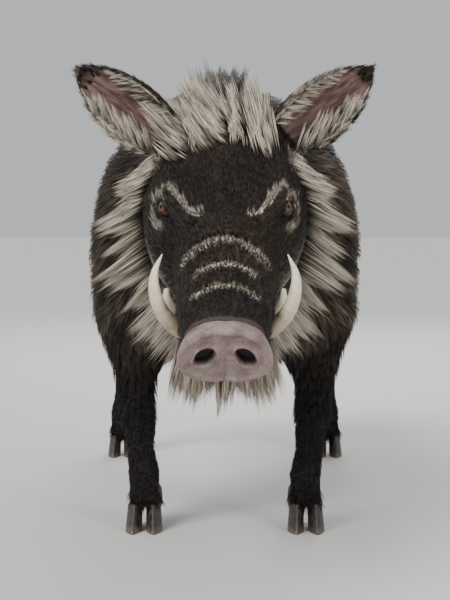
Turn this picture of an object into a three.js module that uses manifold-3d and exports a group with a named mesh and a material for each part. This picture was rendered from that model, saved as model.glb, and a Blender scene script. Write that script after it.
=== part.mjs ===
// A wild boar (Sus scrofa), adult male in winter coat, life size.
// It stands on its four feet with its head lowered, and the solids reach to the tips of the coat.
// Millimetres, +Z up. The boar faces -Y and its left side is +X.
// The origin is the middle of the footprint box, on the floor.
import * as THREE from "three";
import { LoftGeometry } from "three/addons/geometries/LoftGeometry.js";
import { mergeVertices } from "three/addons/utils/BufferGeometryUtils.js";
import Module from "manifold-3d";

const wasm = await Module();
wasm.setup();

// ---- Driving sizes ------------------------------------------------------------------------------
const GAP = 0.4; // clearance between pieces that touch
const BODY_SPOKES = 26; // points round the head, neck and trunk
const LEG_SPOKES = 10;

const HEAD_PITCH = THREE.MathUtils.degToRad(37); // how far the face points down
const SKULL_BACK = new THREE.Vector3(0, -205, 655); // centre of the back of the skull
const SNOUT_CUT = 438; // where the bare snout disc starts, along the head
const SNOUT = { halfWidth: 60, halfHeight: 48, depth: 20 };
const NOSTRIL = { side: 24, height: 2, halfWidth: 11, halfHeight: 13.5, depth: 18 };
const MOUTH = { cornerU: 226, cornerV: -72, frontV: -40 }; // the line where the lips meet
const EYE = { u: 180, v: 44, proud: 5.5, radius: 13.5 };

// The ear rises and sweeps back by these degrees.
const EAR = { length: 206, width: 122, cup: 38, wall: 8, rise: 37, sweep: 9, side: 74 };
const LOWER_TUSK_RADIUS = 12.5;
const UPPER_TUSK_RADIUS = 9;

const FRONT_FOOT = new THREE.Vector3(148, 0, 0);
const HIND_FOOT = new THREE.Vector3(250, 704, 0);
const WRIST_HEIGHT = 218; // where the upper and lower foreleg part
const HOCK_HEIGHT = 256;
const CLAW = {
  halfLength: 33,
  halfWidth: 16,
  height: 50,
  spread: 17.5,
  splay: THREE.MathUtils.degToRad(8),
};
const DEWCLAW = { spread: 22, back: 48, top: 78, bottom: 28, lean: 26, radius: 11 };

// Outlines of the furred body: [along, top, bottom, half width, height of the widest line].
// The trunk runs along Y, chest to rump. The head runs from its occiput to its snout, in its own frame.
const TRUNK = [
  [-128, 656, 496, 76, 582],
  [-100, 714, 440, 134, 576],
  [-40, 778, 364, 198, 562],
  [60, 812, 314, 231, 542],
  [180, 802, 302, 248, 528],
  [330, 772, 306, 257, 524],
  [480, 744, 332, 248, 530],
  [600, 726, 368, 220, 542],
  [700, 698, 410, 183, 554],
  [778, 656, 456, 140, 564],
  [828, 610, 502, 92, 568],
  [848, 580, 536, 42, 566],
];
const HEAD = [
  [-60, 44, -80, 76, -15],
  [0, 78, -118, 103, -25],
  [50, 91, -148, 118, -32],
  [110, 92, -166, 123, -42],
  [165, 85, -158, 116, -42],
  [215, 74, -134, 98, -32],
  [262, 65, -111, 81, -20],
  [310, 58, -98, 70, -14],
  [355, 53, -88, 66, -10],
  [392, 50, -78, 63, -7],
  [412, 49, -58, 60, -4],
  [448, 47, -44, 55, 0],
];

// ---- Shape functions ----------------------------------------------------------------------------
const at = (x, y, z) => new THREE.Vector3(x, y, z);

/** n + 1 values from a to b. */
const steps = (a, b, n) => Array.from({ length: n + 1 }, (_, i) => a + ((b - a) * i) / n);

/** Joins two distances with a fillet of about k. */
function blend(a, b, k) {
  const h = Math.max(k - Math.abs(a - b), 0) / k;
  return Math.min(a, b) - (h * h * k) / 4;
}

/** Smooth curve through [x, ...values] rows, one value column at a time (Catmull-Rom, ends held). */
function outlineAt(rows, x, column) {
  const last = rows.length - 1;
  const t = THREE.MathUtils.clamp(x, rows[0][0], rows[last][0]);
  let i = 0;
  while (i < last - 1 && t > rows[i + 1][0]) i += 1;
  const [p0, p1, p2, p3] = [Math.max(i - 1, 0), i, i + 1, Math.min(i + 2, last)].map((k) => rows[k]);
  const span = p2[0] - p1[0];
  const s = (t - p1[0]) / span;
  const slope = (a, b) => ((b[column] - a[column]) / (b[0] - a[0])) * span;
  const [m1, m2] = [slope(p0, p2), slope(p1, p3)];
  const [s2, s3] = [s * s, s * s * s];
  return (
    (2 * s3 - 3 * s2 + 1) * p1[column] +
    (s3 - 2 * s2 + s) * m1 +
    (3 * s2 - 2 * s3) * p2[column] +
    (s3 - s2) * m2
  );
}

/** Distance to a body given by outlines: egg-shaped sections whose two halves differ in roundness. */
function outlined(rows, along, side, up, upperRound, lowerRound) {
  const [top, bottom, half, widest] = [1, 2, 3, 4].map((c) => outlineAt(rows, along, c));
  const tall = up > widest ? top - widest : widest - bottom;
  const n = up > widest ? upperRound : lowerRound;
  const reach = (Math.abs(side / half) ** n + Math.abs((up - widest) / tall) ** n) ** (1 / n);
  const across = (reach - 1) * Math.min(half, tall);
  const past = Math.max(rows[0][0] - along, along - rows[rows.length - 1][0], 0);
  return past > 0 ? Math.hypot(Math.max(across, 0), past) : across;
}

/** Distance to an egg with these radii. */
function egg(p, centre, rx, ry, rz) {
  const [x, y, z] = [(p.x - centre.x) / rx, (p.y - centre.y) / ry, (p.z - centre.z) / rz];
  return (Math.hypot(x, y, z) - 1) * Math.min(rx, ry, rz);
}

/** Distance to a limb that tapers from radius ra at a to rb at b. */
function limb(p, a, b, ra, rb) {
  const axis = b.clone().sub(a);
  const t = THREE.MathUtils.clamp(p.clone().sub(a).dot(axis) / axis.lengthSq(), 0, 1);
  return p.distanceTo(a.clone().addScaledVector(axis, t)) - (ra + (rb - ra) * t);
}

// The head's own frame: u along it to the snout, v towards its brow, x to its left.
const HEAD_U = at(0, -Math.cos(HEAD_PITCH), -Math.sin(HEAD_PITCH));
const HEAD_V = at(0, -Math.sin(HEAD_PITCH), Math.cos(HEAD_PITCH));
const onHead = (u, v, x) =>
  at(x, 0, 0).add(SKULL_BACK).addScaledVector(HEAD_U, u).addScaledVector(HEAD_V, v);

function headField(p) {
  const local = p.clone().sub(SKULL_BACK);
  const q = at(Math.abs(p.x), local.dot(HEAD_U), local.dot(HEAD_V));
  let d = outlined(HEAD, q.y, q.x, q.z, 2.4, 2.1);
  d = blend(d, egg(q, at(67, 150, 52), 23, 46, 24), 26); // brow ridge
  d = blend(d, egg(q, at(95, 140, -14), 23, 66, 32), 30); // cheekbone
  d = blend(d, egg(q, at(66, 100, -106), 46, 64, 50), 34); // jowl
  return blend(d, egg(q, at(51, 336, -24), 17, 32, 20), 16); // lip over the tusk roots
}

function neckField(p) {
  const q = at(p.x / 0.95, p.y, p.z);
  return limb(q, at(0, 50, 580), at(0, -205, 606), 220, 136);
}

function trunkField(p) {
  const q = at(Math.abs(p.x), p.y, p.z);
  let d = outlined(TRUNK, p.y, p.x, p.z, 1.8, 2.2);
  d = blend(d, egg(q, at(132, 20, 525), 104, 130, 195), 50); // shoulder
  d = blend(d, egg(q, at(114, 672, 515), 98, 138, 160), 60); // haunch
  return d;
}

const FORE_BONES = [
  at(140, 6, 500),
  at(172, 36, 392),
  at(160, 8, 230),
  at(151, 12, 114),
  at(148, 22, 98),
];
const HIND_BONES = [
  at(150, 655, 455),
  at(212, 730, 322),
  at(236, 774, 262),
  at(248, 738, 116),
  at(250, 726, 98),
];

function forelegField(q) {
  const [shoulder, elbow, wrist, shin] = FORE_BONES;
  let d = limb(q, shoulder, elbow, 96, 68);
  d = blend(d, limb(q, elbow, wrist, 68, 35), 20);
  d = blend(d, egg(q, wrist.clone().add(at(0, -6, -10)), 36, 37, 42), 16);
  d = blend(d, limb(q, wrist, shin, 32, 26), 14);
  return blend(d, footField(q, FRONT_FOOT), 12);
}

function hindLegField(q) {
  const [hip, shank, hock, shin] = HIND_BONES;
  let d = limb(q, hip, shank, 100, 51);
  d = blend(d, limb(q, shank, hock, 51, 34), 20);
  d = blend(d, egg(q, hock.clone().add(at(0, 20, 20)), 19, 22, 30), 22); // point of the hock
  d = blend(d, egg(q, hock.clone().add(at(0, -6, -6)), 34, 38, 40), 14);
  d = blend(d, limb(q, hock, shin, 33, 26), 14);
  return blend(d, footField(q, HIND_FOOT), 12);
}

/** Fetlock, pastern and the two toes above the hooves. */
function footField(q, foot) {
  const fetlock = foot.clone().add(at(0, 22, 98));
  let d = egg(q, fetlock, 31, 33, 35);
  d = blend(d, limb(q, fetlock, foot.clone().add(at(0, 8, 56)), 27, 25), 10);
  for (const side of [-1, 1]) {
    d = blend(d, egg(q, foot.clone().add(at(side * CLAW.spread, 6, 50)), 16, 22, 20), 8);
  }
  return d;
}

const foreField = (p) => blend(blend(trunkField(p), neckField(p), 60), headField(p), 44);

function bodyField(p) {
  const q = at(Math.abs(p.x), p.y, p.z);
  return blend(blend(foreField(p), forelegField(q), 46), hindLegField(q), 46);
}

// ---- Solids -------------------------------------------------------------------------------------
/** A closed three.js geometry as a solid. Triangles that the merge collapses are dropped. */
function toSolid(geometry) {
  const bare = new THREE.BufferGeometry();
  bare.setAttribute("position", geometry.getAttribute("position"));
  bare.setIndex(geometry.index);
  const merged = mergeVertices(bare, 1e-3);
  const corners = Array.from(merged.index.array);
  const kept = corners.filter((_, i) => {
    const [a, b, c] = corners.slice(i - (i % 3), i - (i % 3) + 3);
    return a !== b && b !== c && c !== a;
  });
  return new wasm.Manifold(
    new wasm.Mesh({
      numProp: 3,
      vertProperties: merged.attributes.position.array,
      triVerts: new Uint32Array(kept),
    }),
  );
}

function toGeometry(solid) {
  const mesh = solid.getMesh();
  const positions = new Float32Array(mesh.numVert * 3);
  for (let i = 0; i < mesh.numVert; i += 1) {
    positions.set(mesh.vertProperties.subarray(i * mesh.numProp, i * mesh.numProp + 3), i * 3);
  }
  const geometry = new THREE.BufferGeometry();
  geometry.setAttribute("position", new THREE.BufferAttribute(positions, 3));
  geometry.setIndex(new THREE.BufferAttribute(new Uint32Array(mesh.triVerts), 1));
  geometry.computeVertexNormals();
  return geometry;
}

/** Closed loft through rings of points, from start to end. Each end is a fan round its middle. */
function loft(rings) {
  const middle = (ring) => {
    const sum = ring.reduce((total, p) => total.add(p), at(0, 0, 0));
    return ring.map(() => sum.clone().divideScalar(ring.length));
  };
  const capped = [middle(rings[0]), ...rings, middle(rings[rings.length - 1])];
  const solid = toSolid(new LoftGeometry(capped));
  return solid.volume() > 0 ? solid : toSolid(new LoftGeometry(capped.reverse()));
}

const joined = (solids) => solids.reduce((a, b) => a.add(b));

/** The same point on the given side. */
const mirroredPoint = (p, side) => at(p.x * side, p.y, p.z);

/** Everything on the side of a plane that its normal points away from. */
function behindPlane(point, normal) {
  const size = 4000;
  const box = new THREE.BoxGeometry(size, size, size);
  box.translate(0, 0, -size / 2);
  const turn = new THREE.Quaternion().setFromUnitVectors(at(0, 0, 1), normal.clone().normalize());
  box.applyQuaternion(turn);
  box.translate(point.x, point.y, point.z);
  return toSolid(box);
}

/** One ring of the surface field(p) = grow, seen from centre, in the plane square to along. */
function ringOn(field, { centre, up, along }, spokes, grow = 0, most = 420) {
  const right = up.clone().cross(along).normalize();
  const step = 5;
  return Array.from({ length: spokes }, (_, i) => {
    const angle = (i / spokes) * Math.PI * 2;
    const ray = right.clone().multiplyScalar(Math.sin(angle)).addScaledVector(up, -Math.cos(angle));
    const value = (r) => field(centre.clone().addScaledVector(ray, r)) - grow;
    let far = step;
    while (value(far) < 0 && far < most) far += step;
    let near = far - step;
    for (let k = 0; k < 10; k += 1) {
      const middle = (near + far) / 2;
      if (value(middle) < 0) near = middle;
      else far = middle;
    }
    return centre.clone().addScaledVector(ray, far);
  });
}

/** A body ring's place: its middle on the midline, the way it faces and its upward side. */
function facing(y, z, degreesDown) {
  const down = THREE.MathUtils.degToRad(degreesDown);
  return {
    centre: at(0, y, z),
    along: at(0, -Math.cos(down), -Math.sin(down)),
    up: at(0, -Math.sin(down), Math.cos(down)),
  };
}
const between = (a, b, t) => facing(...a.map((value, i) => value + (b[i] - value) * t));
const moved = (place, distance) => ({
  ...place,
  centre: place.centre.clone().addScaledVector(place.along, distance),
});

// ---- Head, neck and trunk -----------------------------------------------------------------------
// The planes that part them: [y, z, degrees that they face down].
const NECK_START = [-30, 580, -14];
const HEAD_START = [-190, 614, 13];
const TRUNK_LEVEL = [90, 580, 0];

function bodyLoft(places, field, grow, insets) {
  const last = places.length - 1;
  const inset = (i) => (grow > 0 ? 0 : i === 0 ? insets[0] : i === last ? insets[1] : 0);
  return loft(places.map((place, i) => ringOn(field, moved(place, inset(i)), BODY_SPOKES, grow)));
}

function headLoft(grow = 0) {
  const degrees = THREE.MathUtils.radToDeg(HEAD_PITCH);
  const jaw = onHead(128, -28, 0);
  const turning = steps(0, 1, 4).map((t) => between(HEAD_START, [jaw.y, jaw.z, degrees], t));
  const square = [152, 176, 200, 226, 254, 284, 314, 342, 370, 392, 408, 420, SNOUT_CUT].map((u) => {
    const middle = onHead(u, -24 * (1 - u / SNOUT_CUT), 0);
    return facing(middle.y, middle.z, degrees);
  });
  return bodyLoft([...turning, ...square], foreField, grow, [GAP / 2, -GAP / 2]);
}

function neckLoft(grow = 0) {
  const places = steps(0, 1, 5).map((t) => between(NECK_START, HEAD_START, t));
  return bodyLoft(places, foreField, grow, [GAP / 2, -GAP / 2]);
}

// Planes that part the legs from the trunk, rising outwards from under the belly.
const FORELEG_CUT = { z: 290, rise: 0.5 };
const HIND_CUT = { z: 326, rise: 0.5 };
const LEG_STUB = 60; // how far the uncut trunk runs down past those planes

/** The trunk with the stubs of its legs. */
function trunkLoft(grow = 0) {
  const field = (p) => {
    const cut = p.y < 380 ? FORELEG_CUT : HIND_CUT;
    const above = p.z - cut.z - cut.rise * Math.abs(p.x) + LEG_STUB;
    return Math.min(Math.max(bodyField(p), -above), foreField(p));
  };
  const turning = steps(0, 1, 4).map((t) => between(NECK_START, TRUNK_LEVEL, t));
  const level = [...steps(134, 698, 8), 736, 770, 800, 824, 841].map((y) =>
    facing(y, TRUNK_LEVEL[1] - 20 * ((y - TRUNK_LEVEL[0]) / 700), 0),
  );
  return bodyLoft([...turning, ...level], field, grow, [-GAP / 2, 0]);
}

/** Cuts the head along the mouth, and gives the skull and the lower jaw. */
function partJaw(head) {
  const { cornerU, cornerV, frontV } = MOUTH;
  const jawRegion = (gap) => {
    const outline = new THREE.Shape([
      new THREE.Vector2(cornerU - gap, cornerV + gap),
      new THREE.Vector2(cornerU - 50 - gap, -260),
      new THREE.Vector2(480, -260),
      new THREE.Vector2(480, frontV + 16 + gap),
      new THREE.Vector2(416, frontV + gap),
    ]);
    const slab = new THREE.ExtrudeGeometry(outline, { depth: 400, bevelEnabled: false });
    slab.translate(0, 0, -200);
    slab.applyMatrix4(new THREE.Matrix4().makeBasis(HEAD_U, HEAD_V, at(-1, 0, 0)));
    slab.translate(SKULL_BACK.x, SKULL_BACK.y, SKULL_BACK.z);
    return toSolid(slab);
  };
  const chin = onHead(414, 0, 0);
  const jaw = head.intersect(jawRegion(0)).intersect(behindPlane(chin, HEAD_U));
  return { skull: head.subtract(jawRegion(GAP)), jaw };
}

// ---- Face ---------------------------------------------------------------------------------------
/** The bare disc of the snout with its two nostrils. */
function snoutDisc() {
  const profile = [
    [GAP, 0.9],
    [5, 0.99],
    [13, 1.02],
    [SNOUT.depth - 2, 0.96],
    [SNOUT.depth, 0.84],
  ];
  const rings = profile.map(([forward, scale]) =>
    Array.from({ length: 16 }, (_, i) => {
      const angle = (i / 16) * Math.PI * 2;
      const [side, up] = [Math.sin(angle), Math.cos(angle)];
      const roundness = 2.3;
      const reach = scale / (Math.abs(side) ** roundness + Math.abs(up) ** roundness) ** (1 / roundness);
      return onHead(SNOUT_CUT + forward, up * reach * SNOUT.halfHeight, side * reach * SNOUT.halfWidth);
    }),
  );
  const disc = loft(rings);
  const nostrils = [-1, 1].map((side) => {
    const pit = new THREE.SphereGeometry(1, 8, 6);
    pit.scale(NOSTRIL.halfWidth, NOSTRIL.halfHeight, NOSTRIL.depth);
    pit.rotateZ(side * THREE.MathUtils.degToRad(-18));
    pit.applyMatrix4(new THREE.Matrix4().makeBasis(at(1, 0, 0), HEAD_V, HEAD_U));
    const place = onHead(SNOUT_CUT + SNOUT.depth + 2, NOSTRIL.height, side * NOSTRIL.side);
    pit.translate(place.x, place.y, place.z);
    return toSolid(pit);
  });
  return disc.subtract(joined(nostrils));
}

/** How far from the midline the head's surface is at (u, v). */
function cheekWidth(u, v) {
  let [inside, outside] = [0, 200];
  for (let k = 0; k < 16; k += 1) {
    const x = (inside + outside) / 2;
    if (foreField(onHead(u, v, x)) < 0) inside = x;
    else outside = x;
  }
  return inside;
}

function eyeBall(side, grow = 0) {
  const ball = new THREE.SphereGeometry(EYE.radius + grow, 10, 7);
  const place = onHead(EYE.u, EYE.v, side * (cheekWidth(EYE.u, EYE.v) + EYE.proud - EYE.radius));
  ball.translate(place.x, place.y, place.z);
  return toSolid(ball);
}

/** A round horn-like piece along points in the head's frame, tapering to its tip. */
function horn(points, radius, side, grow = 0) {
  const curve = new THREE.CatmullRomCurve3(points.map(([u, v, x]) => onHead(u, v, x * side)));
  const n = 6;
  const rings = steps(0, 1, n).map((t) => {
    const along = curve.getTangent(t);
    const across = at(1, 0, 0).cross(along).normalize();
    const up = along.clone().cross(across);
    const size = radius * (1 - 0.93 * t ** 2.4) + grow;
    const centre = curve.getPoint(t).addScaledVector(along, t === 0 ? -grow : t === 1 ? grow : 0);
    return Array.from({ length: 7 }, (_, i) => {
      const angle = (i / 7) * Math.PI * 2;
      return centre
        .clone()
        .addScaledVector(across, Math.cos(angle) * size)
        .addScaledVector(up, Math.sin(angle) * size);
    });
  });
  return loft(rings);
}
const LOWER_TUSK = [
  [350, -66, 50],
  [352, -44, 66],
  [347, -14, 85],
  [332, 16, 97],
  [308, 42, 97],
  [284, 60, 88],
];
const UPPER_TUSK = [
  [322, -52, 54],
  [322, -42, 69],
  [314, -26, 81],
  [300, -12, 84],
];
const lowerTusk = (side, grow) => horn(LOWER_TUSK, LOWER_TUSK_RADIUS, side, grow);
const upperTusk = (side, grow) => horn(UPPER_TUSK, UPPER_TUSK_RADIUS, side, grow);

/** A cupped, pointed ear, open to the front. */
function ear(side) {
  const { degToRad } = THREE.MathUtils;
  const [rise, sweep] = [degToRad(EAR.rise), degToRad(EAR.sweep)];
  const axis = at(side * Math.cos(rise) * Math.cos(sweep), Math.sin(sweep), Math.sin(rise)).normalize();
  const open = at(side * 0.3, -1, -0.12);
  open.addScaledVector(axis, -open.dot(axis)).normalize();
  const across = open.clone().cross(axis).normalize();
  const root = onHead(30, 58, side * EAR.side);
  const n = 8;
  const rings = steps(0, 1, n).map((t) => {
    const leaf = 0.78 * Math.sin(Math.PI * (0.14 + 0.86 * t)) ** 0.8 + 0.3 * (1 - t) * t;
    const halfWidth = (EAR.width / 2) * Math.max(leaf + 0.1 * (1 - t), 0.03);
    const cup = EAR.cup * (1 - 0.55 * t) * Math.min(halfWidth / (EAR.width * 0.4), 1);
    const wall = EAR.wall * (1 - 0.55 * t);
    const centre = root.clone().addScaledVector(axis, EAR.length * t);
    const arc = (a, depth, inset) =>
      centre
        .clone()
        .addScaledVector(across, Math.sin(a) * (halfWidth - inset))
        .addScaledVector(open, -Math.cos(a) * depth + cup * 0.4);
    const outer = steps(-Math.PI / 2, Math.PI / 2, 5).map((a) => arc(a, cup + wall, 0));
    const inner = steps(Math.PI / 2, -Math.PI / 2, 5)
      .slice(1, -1)
      .map((a) => arc(a, cup, Math.min(wall, halfWidth * 0.5)));
    return [...outer, ...inner];
  });
  return loft(rings);
}

// ---- Long hair: mane, cheek ruffs and beard -----------------------------------------------------
/** A fringe of overlapping locks: thin blade sections along a root line, whose free edge is toothed. */
function fringe(teeth, sectionAt) {
  const rings = [];
  for (let k = 0; k < teeth; k += 1) {
    rings.push(sectionAt(k / teeth, 0.66, 0));
    rings.push(sectionAt((k + 0.6) / teeth, 1, 1));
  }
  rings.push(sectionAt(1, 0.3, 0));
  return loft(rings);
}

/** A blade's section: root edge at root, tip at tip, thickness to both sides along normal. */
function bladeSection(root, tip, normal, thickness) {
  const middle = root.clone().lerp(tip, 0.5);
  const off = (p, s) => p.clone().addScaledVector(normal, s * thickness);
  return [
    off(root, 0.5),
    off(middle, 0.36),
    off(tip, 0.06),
    off(tip, -0.06),
    off(middle, -0.36),
    off(root, -0.5),
  ];
}

/** Height of the back over the midline. */
function spineHeight(y) {
  let [low, high] = [540, 900];
  for (let k = 0; k < 14; k += 1) {
    const z = (low + high) / 2;
    if (foreField(at(0, y, z)) < 0) low = z;
    else high = z;
  }
  return low;
}

/** The crest of bristles from the forehead over neck and withers to the loin. */
function mane() {
  const [front, back] = [-352, 560];
  const heights = [
    [0, 6],
    [0.1, 60],
    [0.24, 68],
    [0.45, 58],
    [0.7, 34],
    [1, 6],
  ];
  return fringe(11, (t, share, lean) => {
    const y = front + (back - front) * t;
    const slope = (spineHeight(y + 5) - spineHeight(y - 5)) / 10;
    const outward = at(0, -slope, 1).normalize();
    const root = at(0, y, spineHeight(y)).addScaledVector(outward, -14);
    const height = outlineAt(heights, t, 1) * share + 14;
    const tip = root.clone().addScaledVector(outward, height).add(at(0, lean * 22, 0));
    return bladeSection(root, tip, at(1, 0, 0), 54 * Math.min(1, 0.35 + 6 * t) * (1 - 0.4 * t));
  });
}

const RUFF_THICK = 34;

/** Long pale hair of the cheek, from below the ear down behind the jaw and forward to the chin. */
function ruff(side) {
  const line = new THREE.CatmullRomCurve3([
    onHead(68, 30, side * 104),
    onHead(84, -30, side * 113),
    onHead(112, -92, side * 103),
    onHead(160, -134, side * 80),
    onHead(228, -116, side * 66),
    onHead(290, -92, side * 54),
  ]);
  const lengths = [
    [0, 62],
    [0.25, 118],
    [0.5, 112],
    [0.75, 84],
    [1, 50],
  ];
  return fringe(9, (t, share, lean) => {
    const root = line.getPoint(t);
    const tangent = line.getTangent(t);
    const outward = at(side * (0.95 - 0.35 * t), 0, 0);
    outward.addScaledVector(HEAD_U, -0.28);
    outward.addScaledVector(HEAD_V, -0.3 - 0.4 * t);
    outward.addScaledVector(tangent, 0.2 * lean).normalize();
    const normal = tangent.clone().cross(outward).normalize();
    const start = root.clone().addScaledVector(outward, -10);
    const length = outlineAt(lengths, t, 1) * share;
    return bladeSection(start, root.clone().addScaledVector(outward, length), normal, RUFF_THICK);
  });
}

/** Locks that hang from the lower jaw, round the chin. */
function beard() {
  const bend = 1.15;
  const chinRound = (a) => onHead(300 + 74 * Math.cos(a), -70 - 12 * Math.cos(a), 46 * Math.sin(a));
  return fringe(5, (t, share, lean) => {
    const angle = (t - 0.5) * 2 * bend;
    const root = chinRound(angle);
    const tangent = chinRound(angle + 0.01).sub(chinRound(angle - 0.01)).normalize();
    const hang = at(0.35 * Math.sin(angle), 0.34, -1).addScaledVector(tangent, 0.12 * lean).normalize();
    const length = (30 + 46 * Math.cos(angle)) * share;
    const normal = tangent.clone().cross(hang).normalize();
    return bladeSection(root, root.clone().addScaledVector(hang, length), normal, 22);
  });
}

// ---- Tail ---------------------------------------------------------------------------------------
const TAIL_LINE = new THREE.CatmullRomCurve3([
  at(0, 812, 630),
  at(0, 858, 604),
  at(3, 884, 534),
  at(10, 884, 450),
  at(16, 876, 374),
  at(18, 872, 308),
]);
const TUFT_START = 0.64; // along the tail line

function tailPart(from, to, n, radiusAt) {
  return loft(
    steps(from, to, n).map((t) => {
      const along = TAIL_LINE.getTangent(t);
      const up = at(0, 1, 0.2).addScaledVector(along, -along.y).normalize();
      const place = { centre: TAIL_LINE.getPoint(t), along, up };
      return ringOn((p) => p.distanceTo(place.centre) - radiusAt(t), place, 8);
    }),
  );
}

// ---- Legs ---------------------------------------------------------------------------------------
function cutPlane(cut, side, offset) {
  const normal = at(-cut.rise * side, 0, 1).normalize();
  return behindPlane(at(0, 0, cut.z).addScaledVector(normal, offset), normal);
}

/** A leg as level rings down its bones. */
function legLoft({ bones, foot, heights }, side, grow = 0) {
  const sole = foot.clone().add(at(0, 4, 20));
  const line = new THREE.CatmullRomCurve3([...bones, sole], false, "centripetal");
  const points = line.getPoints(200);
  const rings = heights.map((z) => {
    const nearest = points.reduce((a, b) => (Math.abs(a.z - z) < Math.abs(b.z - z) ? a : b));
    const place = { centre: at(nearest.x * side, nearest.y, z), up: at(0, 1, 0), along: at(0, 0, -1) };
    return ringOn(bodyField, place, LEG_SPOKES, grow, 130 + grow);
  });
  return loft(rings);
}

/** One of the two claws that carry the foot: a flat sole, pointed in front, and a sloping wall. */
function claw(foot, side, grow = 0) {
  const rings = steps(0, 1, 2).map((t) => {
    const length = CLAW.halfLength * (1 - 0.24 * t) + grow;
    const width = CLAW.halfWidth * (1 - 0.12 * t) + grow;
    const z = CLAW.height * t + (t === 1 ? grow : 0);
    return Array.from({ length: 10 }, (_, i) => {
      const angle = (i / 10) * Math.PI * 2;
      const forward = Math.cos(angle);
      const pinch = forward > 0 ? 1 - 0.45 * forward ** 2 : 1;
      const across = Math.sin(angle) * width * pinch - side * 3 * forward;
      const p = at(across, -forward * length + 16 * t - 4, z);
      p.applyAxisAngle(at(0, 0, 1), side * CLAW.splay);
      return p.add(at(foot.x + side * CLAW.spread, foot.y, 0));
    });
  });
  return loft(rings.reverse());
}

/** A small claw behind the foot, clear of the floor. */
function dewclaw(foot, side, grow = 0) {
  const { spread, back, top: high, bottom: low, lean, radius } = DEWCLAW;
  const top = at(foot.x + side * (spread - lean / 4), foot.y + back - lean / 2, high);
  const bottom = at(foot.x + side * (spread + lean / 4), foot.y + back + lean / 2, low);
  const along = bottom.clone().sub(top).normalize();
  const up = at(0, 1, 0).addScaledVector(along, -along.y).normalize();
  const right = up.clone().cross(along);
  const radii = [radius, radius, radius / 2];
  const rings = steps(0, 1, radii.length - 1).map((t, i) =>
    Array.from({ length: 6 }, (_, k) => {
      const angle = (k / 6) * Math.PI * 2;
      const centre = top.clone().lerp(bottom, t);
      return centre
        .addScaledVector(right, Math.sin(angle) * (radii[i] + grow))
        .addScaledVector(up, Math.cos(angle) * (radii[i] + grow) * 0.8);
    }),
  );
  return loft(rings);
}

// ---- The boar -----------------------------------------------------------------------------------
const finish = (color, roughness) => new THREE.MeshStandardMaterial({ color, roughness, metalness: 0 });
const FINISHES = {
  coat: finish(0x3f362c, 0.9),
  darkCoat: finish(0x221d1a, 0.9),
  paleCoat: finish(0x8d8272, 0.9),
  snout: finish(0x5a4a47, 0.55),
  tusk: finish(0xe4d9bd, 0.35),
  hoof: finish(0x2b2523, 0.5),
  eye: finish(0x2a1710, 0.12),
};

const boar = new THREE.Group();
function place(name, solid, material) {
  const mesh = new THREE.Mesh(toGeometry(solid), material);
  mesh.name = name;
  boar.add(mesh);
}

const HANDS = [
  ["left", 1],
  ["right", -1],
];
const grownHead = headLoft(GAP);
const grownBody = joined([grownHead, neckLoft(GAP), trunkLoft(GAP)]);
const [headBack, neckBack] = [facing(...HEAD_START), facing(...NECK_START)];
const inFrontOf = (part, { centre, along }, gap) =>
  part.subtract(behindPlane(centre.clone().addScaledVector(along, gap), along));
const behind = (part, { centre, along }, gap) =>
  part.intersect(behindPlane(centre.clone().addScaledVector(along, -gap), along));

// Head: the flesh gives way to the eyes and the tusks that sit in it.
const { skull, jaw } = partJaw(headLoft());
const set = HANDS.flatMap(([, side]) => [
  eyeBall(side, GAP),
  lowerTusk(side, GAP),
  upperTusk(side, GAP),
]);
const ears = HANDS.map(([hand, side]) => [hand, ear(side).subtract(grownBody)]);
place("head", skull.subtract(joined(set)), FINISHES.coat);
place("lower_jaw", jaw.subtract(joined(set)), FINISHES.coat);
place("snout_disc", snoutDisc(), FINISHES.snout);
place("neck", neckLoft(), FINISHES.coat);
for (const [hand, part] of ears) place(`ear_${hand}`, part, FINISHES.darkCoat);
for (const [hand, side] of HANDS) {
  place(`eye_${hand}`, eyeBall(side), FINISHES.eye);
  place(`tusk_lower_${hand}`, lowerTusk(side), FINISHES.tusk);
  place(`tusk_upper_${hand}`, upperTusk(side), FINISHES.tusk);
  place(`ruff_${hand}`, ruff(side).subtract(grownBody), FINISHES.paleCoat);
}
place("beard", beard().subtract(grownHead), FINISHES.paleCoat);

const crest = mane().subtract(grownBody);
place("mane_crown", inFrontOf(crest, headBack, GAP / 2), FINISHES.darkCoat);
place("mane_neck", inFrontOf(behind(crest, headBack, GAP / 2), neckBack, GAP / 2), FINISHES.darkCoat);
place("mane_back", behind(crest, neckBack, GAP / 2), FINISHES.darkCoat);

place("tail", tailPart(0, TUFT_START - 0.004, 6, (t) => 17 - 11 * t).subtract(grownBody), FINISHES.coat);
const tuftRadius = (t) => 12 + 14 * Math.sin((Math.PI * (t - TUFT_START)) / (1 - TUFT_START)) - 10 * t;
place("tail_tuft", tailPart(TUFT_START, 1, 5, tuftRadius), FINISHES.darkCoat);

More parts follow.
